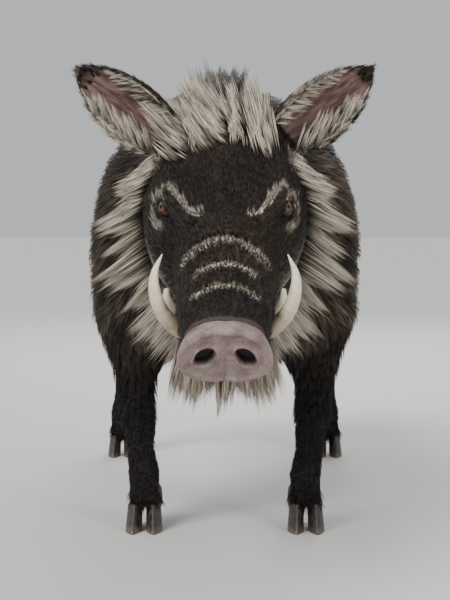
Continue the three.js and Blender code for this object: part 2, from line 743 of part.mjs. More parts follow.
const FOOT_HEIGHTS = [112, 94, 76, 58, 40];
const LEGS = [
  {
    name: "foreleg",
    bones: FORE_BONES,
    foot: FRONT_FOOT,
    cut: FORELEG_CUT,
    joint: WRIST_HEIGHT,
    heights: [...steps(440, 254, 5), ...steps(230, 138, 3), ...FOOT_HEIGHTS],
  },
  {
    name: "hindleg",
    bones: HIND_BONES,
    foot: HIND_FOOT,
    cut: HIND_CUT,
    joint: HOCK_HEIGHT,
    heights: [...steps(480, 312, 5), ...steps(284, 138, 3), ...FOOT_HEIGHTS],
  },
];
const LEG_ROOM = 8; // the trunk's stubs are cut off this wide round each leg
let trunk = trunkLoft();
for (const parts of LEGS) {
  const { name, foot, cut, joint } = parts;
  for (const [hand, side] of HANDS) {
    const ground = mirroredPoint(foot, side);
    const toes = [
      ["outer", side],
      ["inner", -side],
    ];
    const room = toes.flatMap(([, toe]) => [claw(ground, toe, GAP), dewclaw(ground, toe, GAP)]);
    const leg = legLoft(parts, side).intersect(cutPlane(cut, side, -GAP)).subtract(joined(room));
    trunk = trunk.subtract(legLoft(parts, side, LEG_ROOM).intersect(cutPlane(cut, side, 0)));
    const up = at(0, 0, 1);
    const upper = leg.subtract(behindPlane(at(0, 0, joint + GAP / 2), up));
    const lower = leg.intersect(behindPlane(at(0, 0, joint - GAP / 2), up));
    place(`${name}_upper_${hand}`, upper, FINISHES.darkCoat);
    place(`${name}_lower_${hand}`, lower, FINISHES.darkCoat);
    for (const [where, toe] of toes) {
      place(`${name}_hoof_${where}_${hand}`, claw(ground, toe), FINISHES.hoof);
      place(`${name}_dewclaw_${where}_${hand}`, dewclaw(ground, toe), FINISHES.hoof);
    }
  }
}
place("trunk", trunk, FINISHES.coat);

// The footprint box's middle goes to the origin.
const box = new THREE.Box3().setFromObject(boar);
boar.position.y = -(box.min.y + box.max.y) / 2;
boar.position.x = -(box.min.x + box.max.x) / 2;

const model = new THREE.Group();
model.add(boar);
export default model;
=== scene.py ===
# A wild boar at life size, standing with its head lowered. Metres; it faces -Y and its left side is +X.
# One skin lies inside the coat by the coat's own depth, and every hair is a closed blade rooted in it.
import math

import bmesh
import bpy
import numpy as np
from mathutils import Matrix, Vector
from mathutils.bvhtree import BVHTree


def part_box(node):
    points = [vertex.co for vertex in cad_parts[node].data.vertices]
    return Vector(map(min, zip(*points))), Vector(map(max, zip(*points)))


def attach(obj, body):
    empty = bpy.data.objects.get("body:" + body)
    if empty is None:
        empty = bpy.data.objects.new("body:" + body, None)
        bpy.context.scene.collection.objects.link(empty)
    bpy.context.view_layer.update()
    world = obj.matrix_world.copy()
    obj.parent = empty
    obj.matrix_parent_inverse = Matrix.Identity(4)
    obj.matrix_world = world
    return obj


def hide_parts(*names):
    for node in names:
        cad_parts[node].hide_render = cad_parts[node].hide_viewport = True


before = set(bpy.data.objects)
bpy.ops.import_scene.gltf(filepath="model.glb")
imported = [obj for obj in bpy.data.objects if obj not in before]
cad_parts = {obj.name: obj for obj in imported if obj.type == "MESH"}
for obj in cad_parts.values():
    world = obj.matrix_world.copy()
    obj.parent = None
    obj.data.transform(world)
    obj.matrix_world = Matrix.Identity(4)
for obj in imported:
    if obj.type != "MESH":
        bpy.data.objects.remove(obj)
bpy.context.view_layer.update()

# ---- Sizes ------------------------------------------------------------------------------------------
HEAD_PITCH = math.radians(37)  # how far the face points down
SNOUTWARD = np.array((0.0, -math.cos(HEAD_PITCH), -math.sin(HEAD_PITCH)))
BROWWARD = np.array((0.0, -math.sin(HEAD_PITCH), math.cos(HEAD_PITCH)))
EYE_ALONG = 0.180  # from the back of the skull
EYE_UP = 0.044
EYE_RADIUS = 0.0134
EYE_SET_IN = 0.0036  # how much deeper than the solid the eyeball sits

SKIN_CELL = 0.0090  # cell of the mesh that joins the flesh
JOINING_SWELL = 0.0012  # closes the gaps between neighbouring solids

SNOUT_FROM = 0.438  # where the bare disc starts, along the head
SNOUT_HALF_WIDTH = 0.063
SNOUT_HALF_HEIGHT = 0.048
SNOUT_DEPTH = 0.020
NOSTRIL_SIDE = 0.0265
MOUTH_CORNER = (0.226, -0.072)  # along and up, at the corner of the lips
MOUTH_FRONT = (0.430, -0.040)

EAR_ROOT = (0.030, 0.058, 0.077)  # along, up and from the midline
EAR_RISE = math.radians(37)
EAR_SWEEP = math.radians(9)
EAR_LENGTH = 0.200
EAR_WIDTH = 0.114
EAR_CUP = 0.036
EAR_WALL = 0.0055

LEGS = ["foreleg_upper", "foreleg_lower", "hindleg_upper", "hindleg_lower"]
SIDES = {"left": 1, "right": -1}
FLESH = ["head", "lower_jaw", "neck", "trunk", "tail"]
FLESH += [f"{leg}_{hand}" for leg in LEGS for hand in SIDES]

# How deep the coat is over each part of the body.
COAT_DEPTH = {
    "head": 0.0045,
    "lower_jaw": 0.005,
    "neck": 0.018,
    "trunk": 0.017,
    "tail": 0.006,
    "foreleg_upper": 0.011,
    "foreleg_lower": 0.004,
    "hindleg_upper": 0.012,
    "hindleg_lower": 0.004,
}

eye_low, eye_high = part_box("eye_left")
EYE_MIDDLE = (np.array(eye_low) + np.array(eye_high)) / 2
SKULL_BACK = EYE_MIDDLE - EYE_ALONG * SNOUTWARD - EYE_UP * BROWWARD
SKULL_BACK[0] = 0.0


# ---- Arrays and meshes ------------------------------------------------------------------------------
def points_of(mesh):
    """The vertices of a mesh as an array."""
    flat = np.empty(len(mesh.vertices) * 3)
    mesh.vertices.foreach_get("co", flat)
    return flat.reshape(-1, 3)


def set_points(mesh, points):
    mesh.vertices.foreach_set("co", np.ascontiguousarray(points, dtype=np.float32).ravel())
    mesh.update()


def normals_of(mesh):
    flat = np.empty(len(mesh.vertices) * 3, np.float32)
    mesh.vertex_normals.foreach_get("vector", flat)
    return flat.reshape(-1, 3).astype(float)


def edges_of(mesh):
    flat = np.empty(len(mesh.edges) * 2, np.int32)
    mesh.edges.foreach_get("vertices", flat)
    return flat.reshape(-1, 2)


def relaxed(values, edges, rounds, share=0.5, where=None):
    """Values drawn towards the mean of their neighbours, so many rounds."""
    values = np.array(values, float)
    flat = values.reshape(len(values), -1)
    a, b = edges.T
    size = len(flat)
    count = np.maximum(np.bincount(edges.ravel(), minlength=size), 1)
    pull = share if where is None else share * where[:, None]
    for _ in range(rounds):
        columns = []
        for column in flat.T:
            total = np.bincount(a, weights=column[b], minlength=size)
            total += np.bincount(b, weights=column[a], minlength=size)
            columns.append(total / count)
        flat = flat + pull * (np.stack(columns, axis=1) - flat)
    return flat.reshape(values.shape)


def unit(vectors):
    return vectors / np.maximum(np.linalg.norm(vectors, axis=-1, keepdims=True), 1e-9)


def ramp(values, start, end):
    """0 before start, 1 after end, smooth between. start may be the larger."""
    t = np.clip((values - start) / (end - start), 0, 1)
    return t * t * (3 - 2 * t)


def hump(values, width):
    """A smooth hump of height 1 about zero."""
    return np.exp(-((values / width) ** 2))


def in_head(points):
    """Along the head, towards the brow, and from the midline."""
    from_skull = points - SKULL_BACK
    return from_skull @ SNOUTWARD, from_skull @ BROWWARD, points[:, 0]


def on_head(along, up, across):
    """The point at these distances from the back of the skull."""
    return SKULL_BACK + along * SNOUTWARD + up * BROWWARD + np.array((across, 0.0, 0.0))


def shown(data, name):
    """A new object that shows the mesh, light or camera."""
    piece = bpy.data.objects.new(name, data)
    bpy.context.scene.collection.objects.link(piece)
    return piece


def settled(piece):
    """A plain mesh of the piece with its modifiers worked in. The piece itself is removed."""
    graph = bpy.context.evaluated_depsgraph_get()
    mesh = bpy.data.meshes.new_from_object(piece.evaluated_get(graph), depsgraph=graph)
    bpy.data.objects.remove(piece)
    return mesh


def mesh_from(name, points, faces):
    """A smooth mesh with its doubles merged and its faces turned outwards."""
    mesh = bpy.data.meshes.new(name)
    mesh.from_pydata([tuple(p) for p in points], [], [tuple(f) for f in faces])
    shape = bmesh.new()
    shape.from_mesh(mesh)
    bmesh.ops.remove_doubles(shape, verts=shape.verts, dist=1e-6)
    bmesh.ops.recalc_face_normals(shape, faces=shape.faces)
    shape.to_mesh(mesh)
    shape.free()
    smooth_faces(mesh)
    return mesh


def smooth_faces(mesh):
    mesh.polygons.foreach_set("use_smooth", [True] * len(mesh.polygons))
    mesh.update()


def tube_faces(rings, around, closed_ends=True):
    """Faces of a tube of rings; each end is closed by one face."""
    faces = []
    for i in range(rings - 1):
        for k in range(around):
            after = (k + 1) % around
            faces.append(
                (i * around + k, i * around + after, (i + 1) * around + after, (i + 1) * around + k)
            )
    if closed_ends:
        faces.append(tuple(range(around))[::-1])
        faces.append(tuple(range((rings - 1) * around, rings * around)))
    return faces


def give(mesh, name, values):
    """Stores a number or a vector for every vertex."""
    values = np.asarray(values, np.float32)
    if values.ndim == 1:
        mesh.attributes.new(name, "FLOAT", "POINT").data.foreach_set("value", values)
    else:
        mesh.attributes.new(name, "FLOAT_VECTOR", "POINT").data.foreach_set("vector", values.ravel())


def vertex_areas(mesh):
    """Each vertex's share of the mesh's surface."""
    areas = np.zeros(len(mesh.vertices))
    for polygon in mesh.polygons:
        share = polygon.area / len(polygon.vertices)
        for i in polygon.vertices:
            areas[i] += share
    return areas


def smooth_curve(corners, count):
    """Points along a smooth curve through the corners."""
    corners = np.asarray(corners, float)
    padded = np.vstack((2 * corners[0] - corners[1], corners, 2 * corners[-1] - corners[-2]))
    t = np.linspace(0, len(corners) - 1, count)
    i = np.minimum(t.astype(int), len(corners) - 2)
    s = (t - i)[:, None]
    p0, p1, p2, p3 = (padded[i + k] for k in range(4))
    return 0.5 * (
        2 * p1 + (p2 - p0) * s + (2 * p0 - 5 * p1 + 4 * p2 - p3) * s**2
        + (3 * p1 - p0 - 3 * p2 + p3) * s**3
    )


# ---- Skin -------------------------------------------------------------------------------------------
def joined_flesh():
    """All the flesh as one closed mesh of even squares."""
    together = bmesh.new()
    for name in FLESH:
        together.from_mesh(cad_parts[name].data)
    bmesh.ops.remove_doubles(together, verts=together.verts, dist=1e-5)
    together.normal_update()
    for vertex in together.verts:
        vertex.co += vertex.normal * JOINING_SWELL
    mesh = bpy.data.meshes.new("flesh")
    together.to_mesh(mesh)
    together.free()
    piece = shown(mesh, "flesh")
    weld = piece.modifiers.new("even_squares", "REMESH")
    weld.mode = "VOXEL"
    weld.voxel_size = SKIN_CELL
    return settled(piece)


def flesh_part_of(points):
    """For each point, the name of the nearest flesh part without its side."""
    corners = []
    faces = []
    owners = []
    for name in FLESH:
        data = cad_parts[name].data
        start = len(corners)
        corners.extend(v.co.copy() for v in data.vertices)
        for polygon in data.polygons:
            faces.append([start + i for i in polygon.vertices])
            owners.append(name.replace("_left", "").replace("_right", ""))
    tree = BVHTree.FromPolygons(corners, faces)
    return np.array([owners[tree.find_nearest(p)[2]] for p in points])


def finer_where(mesh, wanted):
    """Splits every square between wanted corners in four, and eases the new corners."""
    shape = bmesh.new()
    shape.from_mesh(mesh)
    shape.verts.ensure_lookup_table()
    chosen = [e for e in shape.edges if wanted[e.verts[0].index] and wanted[e.verts[1].index]]
    bmesh.ops.subdivide_edges(shape, edges=chosen, cuts=1, use_grid_fill=True)
    bmesh.ops.triangulate(shape, faces=[f for f in shape.faces if len(f.verts) > 4])
    shape.to_mesh(mesh)
    shape.free()
    mesh.update()
    points = points_of(mesh)
    along, _, _ = in_head(points)
    edges = edges_of(mesh)
    inner = ramp(along, 0.05, 0.09)
    for _ in range(3):
        points = relaxed(points, edges, 1, 0.5, inner)
        points = relaxed(points, edges, 1, -0.47, inner)
    set_points(mesh, points)


def pushed(points, normals, height):
    """The points moved along their normals."""
    return points + normals * np.asarray(height)[:, None]


def eye_middle(side):
    """The eyeball's centre."""
    middle = EYE_MIDDLE * np.array((side, 1, 1))
    return middle - np.array((side * EYE_SET_IN, 0, 0))


def eye_axes(side):
    """The way an eye looks, towards its inner corner, and up."""
    look = unit(side * np.array((0.66, 0, 0)) + 0.50 * SNOUTWARD + 0.42 * BROWWARD)
    inward = 0.80 * SNOUTWARD - 0.34 * BROWWARD - side * np.array((0.50, 0, 0))
    inward = unit(inward - (inward @ look) * look)
    upward = np.cross(look, inward) * side
    return look, inward, upward if upward @ BROWWARD > 0 else -upward


def brow_ridge(along, up, side):
    """1 on the brow, which falls from over the outer corner of the eye to the nose."""
    t = np.clip((along - 0.148) / 0.088, 0, 1)
    off = np.hypot(up - (0.0735 - 0.016 * t), side - (0.103 - 0.056 * t))
    return hump(off, 0.0135) * ramp(along, 0.116, 0.150) * ramp(along, 0.258, 0.234)


# The pale hair on the brow: place along the head, distance from the midline, half width.
BROW_HAIR = (
    (0.134, 0.112, 0.0030),
    (0.148, 0.100, 0.0046),
    (0.166, 0.086, 0.0056),
    (0.188, 0.073, 0.0058),
    (0.210, 0.061, 0.0056),
    (0.227, 0.050, 0.0054),
    (0.231, 0.040, 0.0042),
    (0.223, 0.031, 0.0024),
)


def brow_hair(along, up, side):
    """1 on the brow's pale hair, which hooks over the eye, falls inwards and turns up by the nose."""
    line = smooth_curve([(a, across, half) for a, across, half in BROW_HAIR], 60)
    off = np.hypot(along[:, None] - line[None, :, 0], side[:, None] - line[None, :, 1])
    off = (off / line[None, :, 2]).min(axis=1)
    return ramp(off, 1.25, 0.75) * ramp(up, 0.020, 0.040)


# Folds over the snout: place along the head, half width, height and thickness.
ARCHED_FOLDS = (
    (0.288, 0.074, 0.0100, 0.0100),
    (0.334, 0.052, 0.0080, 0.0076),
    (0.374, 0.058, 0.0068, 0.0066),
)
FOLD_BOW = 0.013  # how far a fold has moved towards the disc 50 mm from the midline


def snout_folds(along, up, side):
    """The folds that arch over the snout: their height, and 1 on their ridges and in their creases."""
    height = np.zeros(len(along))
    ridge = np.zeros(len(along))
    crease = np.zeros(len(along))
    above = ramp(up, -0.005, 0.022)
    for middle, reach, rise, width in ARCHED_FOLDS:
        line = middle + FOLD_BOW * (side / 0.05) ** 2
        window = ramp(side, reach, reach * 0.72) * above
        top = hump(along - line, width) * window
        gap = hump(along - line + 1.75 * width, 0.5 * width) * window
        height += rise * top - 0.8 * rise * gap
        ridge = np.maximum(ridge, top)
        crease = np.maximum(crease, gap)
    return height, ridge, crease


# Hollows of the flanks: place along the body and up, half length, half height and depth.
BODY_HOLLOWS = (
    (0.080, 0.395, 0.055, 0.065, 0.013),  # behind the elbow
    (0.360, 0.465, 0.070, 0.095, 0.018),  # before the thigh
    (-0.225, 0.500, 0.036, 0.130, 0.011),  # between neck and shoulder
    (0.055, 0.610, 0.050, 0.090, 0.007),  # behind the shoulder blade
    (0.500, 0.615, 0.050, 0.060, 0.008),  # below the hip
)


def body_hollows(mesh):
    """Sinks the skin between the muscles of the flanks."""
    points = points_of(mesh)
    normals = unit(relaxed(normals_of(mesh), edges_of(mesh), 3))
    _, y, z = points.T
    depth = np.zeros(len(y))
    for along, height, half_length, half_height, deep in BODY_HOLLOWS:
        off = np.hypot((y - along) / half_length, (z - height) / half_height)
        depth += deep * hump(off, 1.0)
    set_points(mesh, pushed(points, normals, -depth * ramp(np.abs(normals[:, 0]), 0.35, 0.75)))


# Soft swellings and hollows of the face: height, place along the head and up, how many times longer
# than high, size, and the distances from the midline between which it comes to its full height.
FACE_SWELLINGS = (
    (-0.0080, 0.262, 0.004, 1.00, 0.036, 0.020, 0.050),  # the hollow before the eye
    (0.0030, 0.200, -0.012, 1.60, 0.018, 0.050, 0.090),  # the cheekbone
    (0.0050, 0.338, -0.043, 1.30, 0.019, 0.020, 0.050),  # the lip over the tusks
    (0.0165, 0.342, -0.058, 1.75, 0.018, 0.012, 0.030),  # the sockets of the tusks
)
BROW_HEIGHT = 0.0165
UNDER_BROW = 0.006  # how deep the hollow under the brow is


def face_bones(mesh):
    """The brow, the hollow before the eye, the cheekbone and the muscles of the snout."""
    points = points_of(mesh)
    normals = unit(relaxed(normals_of(mesh), edges_of(mesh), 3))
    along, up, across = in_head(points)
    side = np.abs(across)
    height = BROW_HEIGHT * brow_ridge(along, up, side)
    height -= UNDER_BROW * brow_ridge(along - 0.004, up + 0.022, side)
    for rise, middle, level, stretch, size, start, full in FACE_SWELLINGS:
        off = np.hypot((along - middle) / stretch, up - level)
        height += rise * hump(off, size) * ramp(side, start, full)
    muscle = hump(up - 0.020, 0.014) * ramp(along, 0.27, 0.33) * ramp(along, 0.43, 0.39)
    muscle *= ramp(side, 0.025, 0.045)
    bridge = hump(side, 0.024) * ramp(along, 0.16, 0.24) * ramp(along, 0.42, 0.36) * (up > 0)
    collar = hump(along - 0.429, 0.006)
    frown = hump(side, 0.006) * hump(along - 0.178, 0.030) * (up > 0)
    height += 0.004 * muscle + 0.003 * bridge + 0.003 * collar - 0.004 * frown
    set_points(mesh, pushed(points, normals, height))


# Folds behind the corner of the mouth: how far behind it, and how far up and down they reach.
MOUTH_FOLDS = ((0.016, 0.030), (0.030, 0.034), (0.045, 0.036))
# Folds under the eye: how far from its middle, and their height.
EYE_FOLDS = ((0.0235, 0.0022), (0.0300, 0.0018))


def face_folds(mesh):
    """The arched folds over the snout, the lips, and the folds round eye and mouth."""
    points = points_of(mesh)
    normals = unit(relaxed(normals_of(mesh), edges_of(mesh), 2))
    along, up, across = in_head(points)
    side = np.abs(across)
    height, _, _ = snout_folds(along, up, side)
    # The line of the lips, with a soft roll on both sides of it.
    t = np.clip((along - MOUTH_CORNER[0]) / (MOUTH_FRONT[0] - MOUTH_CORNER[0]), 0, 1)
    line = MOUTH_CORNER[1] + (MOUTH_FRONT[1] - MOUTH_CORNER[1]) * t + 0.006 * np.sin(math.pi * t)
    off = up - line
    mouth = ramp(along, MOUTH_CORNER[0] - 0.008, MOUTH_CORNER[0] + 0.01)
    height -= 0.0085 * hump(off, 0.0034) * mouth
    height += 0.0032 * (hump(off - 0.0095, 0.006) + hump(off + 0.0095, 0.006)) * mouth
    # Folds that fan out behind the corner of the mouth, and then those round the eye.
    from_corner = np.hypot(along - MOUTH_CORNER[0] - 0.02, (up - MOUTH_CORNER[1]) * 0.8)
    for bend, reach in MOUTH_FOLDS:
        window = hump(up - MOUTH_CORNER[1] - 0.006, reach) * (along < MOUTH_CORNER[0] + 0.02)
        wave = np.sin((from_corner - bend) / 0.0165 * math.pi)
        height += 0.0022 * wave * window * hump(from_corner - bend, 0.009)
    for one in SIDES.values():
        look, inward, upward = eye_axes(one)
        off = points - eye_middle(one)
        x = off @ inward
        y = off @ upward
        near = (off @ look) > -0.012
        away = np.hypot(x * 0.78, y)
        height -= 0.0095 * hump(away, 0.0125) * near
        for radius, rise in EYE_FOLDS:
            under = ramp(y, 0.002, -0.008)
            height += rise * hump(away - radius, 0.0024) * under * near
        over = ramp(y, 0.0, 0.010)
        height += 0.0030 * hump(away - 0.0205, 0.0036) * over * near
    set_points(mesh, pushed(points, normals, height))


def skin_mesh():
    """The skin of head, trunk, legs and tail, finer and more worked on the face."""
    mesh = joined_flesh()
    points = points_of(mesh)
    edges = edges_of(mesh)
    owner = flesh_part_of(points)
    shares = {part: relaxed((owner == part).astype(float), edges, 10) for part in COAT_DEPTH}
    for _ in range(8):
        points = relaxed(points, edges, 1, 0.55)
        points = relaxed(points, edges, 1, -0.50)
    set_points(mesh, points)
    depth = sum(shares[part] * COAT_DEPTH[part] for part in COAT_DEPTH)
    points = points - unit(relaxed(normals_of(mesh), edges, 4)) * depth[:, None]
    set_points(mesh, relaxed(points, edges, 2, 0.4))
    for part, share in shares.items():
        give(mesh, f"part_{part}", share)
    body_hollows(mesh)
    along, _, _ = in_head(points_of(mesh))
    finer_where(mesh, (along > 0.06) & (points_of(mesh)[:, 1] < -0.40))
    face_bones(mesh)
    along, up, _ = in_head(points_of(mesh))
    finer_where(mesh, (along > 0.12) & (up > -0.16))
    face_folds(mesh)
    return mesh


# ---- Ears -------------------------------------------------------------------------------------------
def ear_axes(side):
    """The way an ear points, the way it opens, and across it."""
    level = math.cos(EAR_RISE)
    out = (side * level * math.cos(EAR_SWEEP), level * math.sin(EAR_SWEEP), math.sin(EAR_RISE))
    out = unit(np.array(out))
    opening = np.array((side * 0.3, -1.0, -0.12))
    opening = unit(opening - (opening @ out) * out)
    return out, opening, np.cross(opening, out)


def ear_root(side):
    along, up, out = EAR_ROOT
    return on_head(along, up, side * out)


def ear_shell(side):
    """A thin cupped ear: its points ring by ring, how far along each is, and whether it is inside."""
    out, opening, across = ear_axes(side)
    root = ear_root(side)
    rings = 44
    half_ring = 22
    points = []
    lengths = []
    inside = []
    for t in np.linspace(-0.12, 1, rings):
        along = max(t, 0)
        leaf = 0.78 * math.sin(math.pi * (0.14 + 0.86 * along)) ** 0.8 + 0.3 * (1 - along) * along
        half_width = EAR_WIDTH / 2 * max(leaf + 0.1 * (1 - along), 0.012)
        cup = EAR_CUP * (1 - 0.55 * along) * min(half_width / (EAR_WIDTH * 0.4), 1)
        wall = EAR_WALL * (1 - 0.6 * along) * min(half_width / (EAR_WIDTH * 0.1), 1)
        middle = root + out * EAR_LENGTH * t + opening * (0.010 * math.sin(math.pi * along) * along)
        for shell, start, end in ((1, -90, 90), (0, 90, -90)):
            angles = np.radians(np.linspace(start, end, half_ring, endpoint=False))
            for angle in angles:
                deep = cup + wall * shell * math.cos(angle) ** 0.5
                if not shell:
                    ridges = 0.0022 * math.cos(angle * 5) * math.cos(angle) * ramp(along, 1, 0.6)
                    deep -= ridges * ramp(along, 0.0, 0.15)
                reach = half_width - (0 if shell else wall * 0.45 * abs(math.sin(angle)))
                curl = 0.006 * abs(math.sin(angle)) ** 6 * ramp(along, 0.95, 0.5)
                points.append(
                    middle + across * math.sin(angle) * (reach - curl * 0.6)
                    + opening * (cup * 0.4 - math.cos(angle) * deep + curl)
                )
                lengths.append(t)
                inside.append(1 - shell)
    faces = tube_faces(rings, 2 * half_ring)
    return np.array(points), faces, np.array(lengths), np.array(inside, float)


def with_ears(mesh):
    """The skin with both ears rooted in it."""
    size = len(mesh.vertices)
    shape = bmesh.new()
    shape.from_mesh(mesh)
    lengths = [np.full(size, -1.0)]
    inside = [np.zeros(size)]
    for side in SIDES.values():
        points, faces, along, inner = ear_shell(side)
        corners = [shape.verts.new(p) for p in points]
        made = [shape.faces.new([corners[i] for i in face]) for face in faces]
        bmesh.ops.recalc_face_normals(shape, faces=made)
        lengths.append(along)
        inside.append(inner)
    shape.to_mesh(mesh)
    shape.free()
    give(mesh, "ear_along", np.concatenate(lengths))
    give(mesh, "ear_inside", np.concatenate(inside))
    smooth_faces(mesh)
    return mesh


skin = shown(with_ears(skin_mesh()), "skin")
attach(skin, "root")
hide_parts(*FLESH, "ear_left", "ear_right")


# ---- Eyes -------------------------------------------------------------------------------------------
def eyeball(side):
    """A ball with the low bulge of its cornea, turned the way it looks."""
    look, inward, upward = eye_axes(side)
    rings = 40
    around = 48
    points = []
    for i in range(rings + 1):
        from_front = math.pi * i / rings
        bulge = 0.0011 * math.exp(-((from_front / 0.52) ** 2))
        reach = EYE_RADIUS + bulge
        for k in range(around):
            turn = 2 * math.pi * k / around
            flat = inward * math.cos(turn) + upward * math.sin(turn)
            points.append(
                eye_middle(side) + reach * (look * math.cos(from_front) + flat * math.sin(from_front))
            )
    mesh = mesh_from("eye", points, tube_faces(rings + 1, around, closed_ends=False))
    off = points_of(mesh) - eye_middle(side)
    give(mesh, "from_pupil", np.hypot(off @ inward, (off @ upward) * 1.25) + 0.1 * ((off @ look) < 0))
    return mesh


# Across an eyelid: beyond its edge, height of its own over the ball, and whether it is the upper face.
LID_STATIONS = (
    (0.0000, 0.0006, 1),
    (0.0006, 0.0017, 1),
    (0.0016, 0.0024, 1),
    (0.0028, 0.0023, 1),
    (0.0040, 0.0012, 1),
    (0.0052, 0.0017, 1),
    (0.0066, 0.0020, 1),
    (0.0082, 0.0014, 1),
    (0.0100, 0.0002, 1),
    (0.0122, -0.0030, 1),
    (0.0150, -0.0070, 1),
    (0.0100, -0.0060, 0),
    (0.0040, -0.0032, 0),
    (0.0005, -0.0012, 0),
)
EYE_HALF_OPENING = 0.0126


def lid_edge(side, turn):
    """The lids' edge, from the eye's centre: lower and straighter above its inner corner."""
    _, inward, upward = eye_axes(side)
    x = math.cos(turn)
    y = math.sin(turn)
    inner = 0.5 + 0.5 * x
    if y > 0:
        rise = 0.0072 * y * (1 - 0.55 * inner)
    else:
        rise = 0.0070 * y * (1 - 0.10 * inner)
    return inward * EYE_HALF_OPENING * x + upward * (rise - 0.0010 * x - 0.0002)


def lashes(side):
    """Stiff lashes along the upper lid, each a closed three-sided blade."""
    look, inward, upward = eye_axes(side)
    rng = np.random.default_rng(31)
    points = []
    faces = []
    for turn in np.radians(np.linspace(12, 168, 46)):
        flat = lid_edge(side, turn)
        ball = math.sqrt(EYE_RADIUS**2 - flat @ flat)
        root = eye_middle(side) + flat + look * (ball + 0.0016)
        out = unit(inward * math.cos(turn) * 0.8 + upward * (0.55 + math.sin(turn)) + look * 1.1)
        out = unit(out + rng.normal(0, 0.10, 3))
        long = rng.uniform(0.0075, 0.0115)
        bend = -upward * 0.0016
        across = unit(np.cross(out, look)) * 0.00032
        over = np.cross(out, unit(across)) * 0.00032
        for share, size in ((0.0, 1.0), (0.5, 0.8)):
            middle = root + out * long * share + bend * math.sin(math.pi * share)
            points += [middle - across * size, middle + across * size, middle + over * size]
        points.append(root + out * long - bend * 0.6)
        first = len(points) - 7
        faces.append((first, first + 1, first + 2))
        for k in range(3):
            after = (k + 1) % 3
            faces.append((first + k, first + 3 + k, first + 3 + after, first + after))
            faces.append((first + 3 + k, first + 6, first + 3 + after))
    return mesh_from("lashes", points, faces)


def lid_ring(side, skin_tree):
    """Both eyelids: a closed ring of skin with an almond opening, sunk into the face all round."""
    look, inward, upward = eye_axes(side)
    middle = eye_middle(side)
    around = 80
    points = []
    for k in range(around):
        turn = 2 * math.pi * k / around
        x = math.cos(turn)
        y = math.sin(turn)
        edge = lid_edge(side, turn)
        outward = unit(inward * x * 0.9 + upward * y)
        for beyond, own, top in LID_STATIONS:
            heavy = 1 + 0.30 * max(y, 0)
            flat = edge + outward * beyond * heavy
            away = np.linalg.norm(flat)
            ball = math.sqrt(max((EYE_RADIUS + 0.0002) ** 2 - away**2, 0.0))
            hit = skin_tree.ray_cast(Vector(middle + flat + look * 0.08), Vector(-look))[0]
            face = (np.array(hit) - middle) @ look if hit is not None else ball
            from_face = float(ramp(np.array(away), 0.0085, 0.0165))
            fold = 0.0016 * math.exp(-(((beyond - 0.0068) / 0.0022) ** 2)) * max(y, 0) * top
            height = ball * (1 - from_face) + face * from_face + own + fold
            points.append(middle + flat + look * height)
    n = len(LID_STATIONS)
    faces = []
    for k in range(around):
        after = (k + 1) % around
        for s in range(n):
            below = (s + 1) % n
            faces.append((k * n + s, k * n + below, after * n + below, after * n + s))
    return mesh_from("lids", points, faces)


skin_tree = BVHTree.FromObject(skin, bpy.context.evaluated_depsgraph_get())
for hand, side in SIDES.items():
    eye = shown(eyeball(side), f"eyeball_{hand}")
    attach(eye, "root")
    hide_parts(f"eye_{hand}")
    lids = shown(lid_ring(side, skin_tree), f"eyelids_{hand}")
    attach(lids, "root")
    hairs = shown(lashes(side), f"eyelashes_{hand}")
    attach(hairs, "root")


# ---- Snout ------------------------------------------------------------------------------------------
def snout_disc():
    """The bare disc with its rolled rim, middle groove and two comma-shaped nostrils."""
    around = 144
    face_rings = 46
    points = []
    rows = []
    for i in range(face_rings + 1):
        rows.append((i / face_rings, None))
    for k in range(1, 9):
        turn = math.pi / 2 * k / 8
        rows.append((1 + 0.045 * math.sin(turn), -0.0085 * (1 - math.cos(turn))))
    for t in np.linspace(0.15, 1, 6):
        rows.append((1.045 - 0.075 * t**1.4, -0.0085 - t * (SNOUT_DEPTH - 0.0085 + 0.004)))
    rows.append((0.90, -SNOUT_DEPTH - 0.005))
    rows.append((0.0, -SNOUT_DEPTH - 0.005))
    for share, level in rows:
        for k in range(around):
            turn = 2 * math.pi * k / around
            x = math.sin(turn)
            y = math.cos(turn)
            full = 0.955 / (abs(x) ** 2.4 + abs(y) ** 2.4) ** (1 / 2.4)
            notch = 1 - 0.055 * math.exp(-((x / 0.16) ** 2)) * (1 if y < 0 else 0.55)
            across = share * full * x * SNOUT_HALF_WIDTH * (1 - 0.16 * share * y)
            rise = share * full * y * SNOUT_HALF_HEIGHT * notch
            if level is None:
                forward = face_relief(across, rise, share)
            else:
                forward = face_relief(across, rise, 1) + level
            points.append(on_head(SNOUT_FROM + SNOUT_DEPTH - 0.0035 + forward, rise, across))
    mesh = mesh_from("snout", points, tube_faces(len(rows), around, closed_ends=False))
    along, up, across = in_head(points_of(mesh))
    front = SNOUT_FROM + SNOUT_DEPTH
    inside = ramp(np.hypot((np.abs(across) - NOSTRIL_SIDE) / 0.021, up / 0.020), 1.1, 0.9)
    # deep: 1 deep inside the nostrils, where near-black painted shade is laid on
    give(mesh, "deep", ramp(front - along, 0.003, 0.010) * inside)
    return mesh


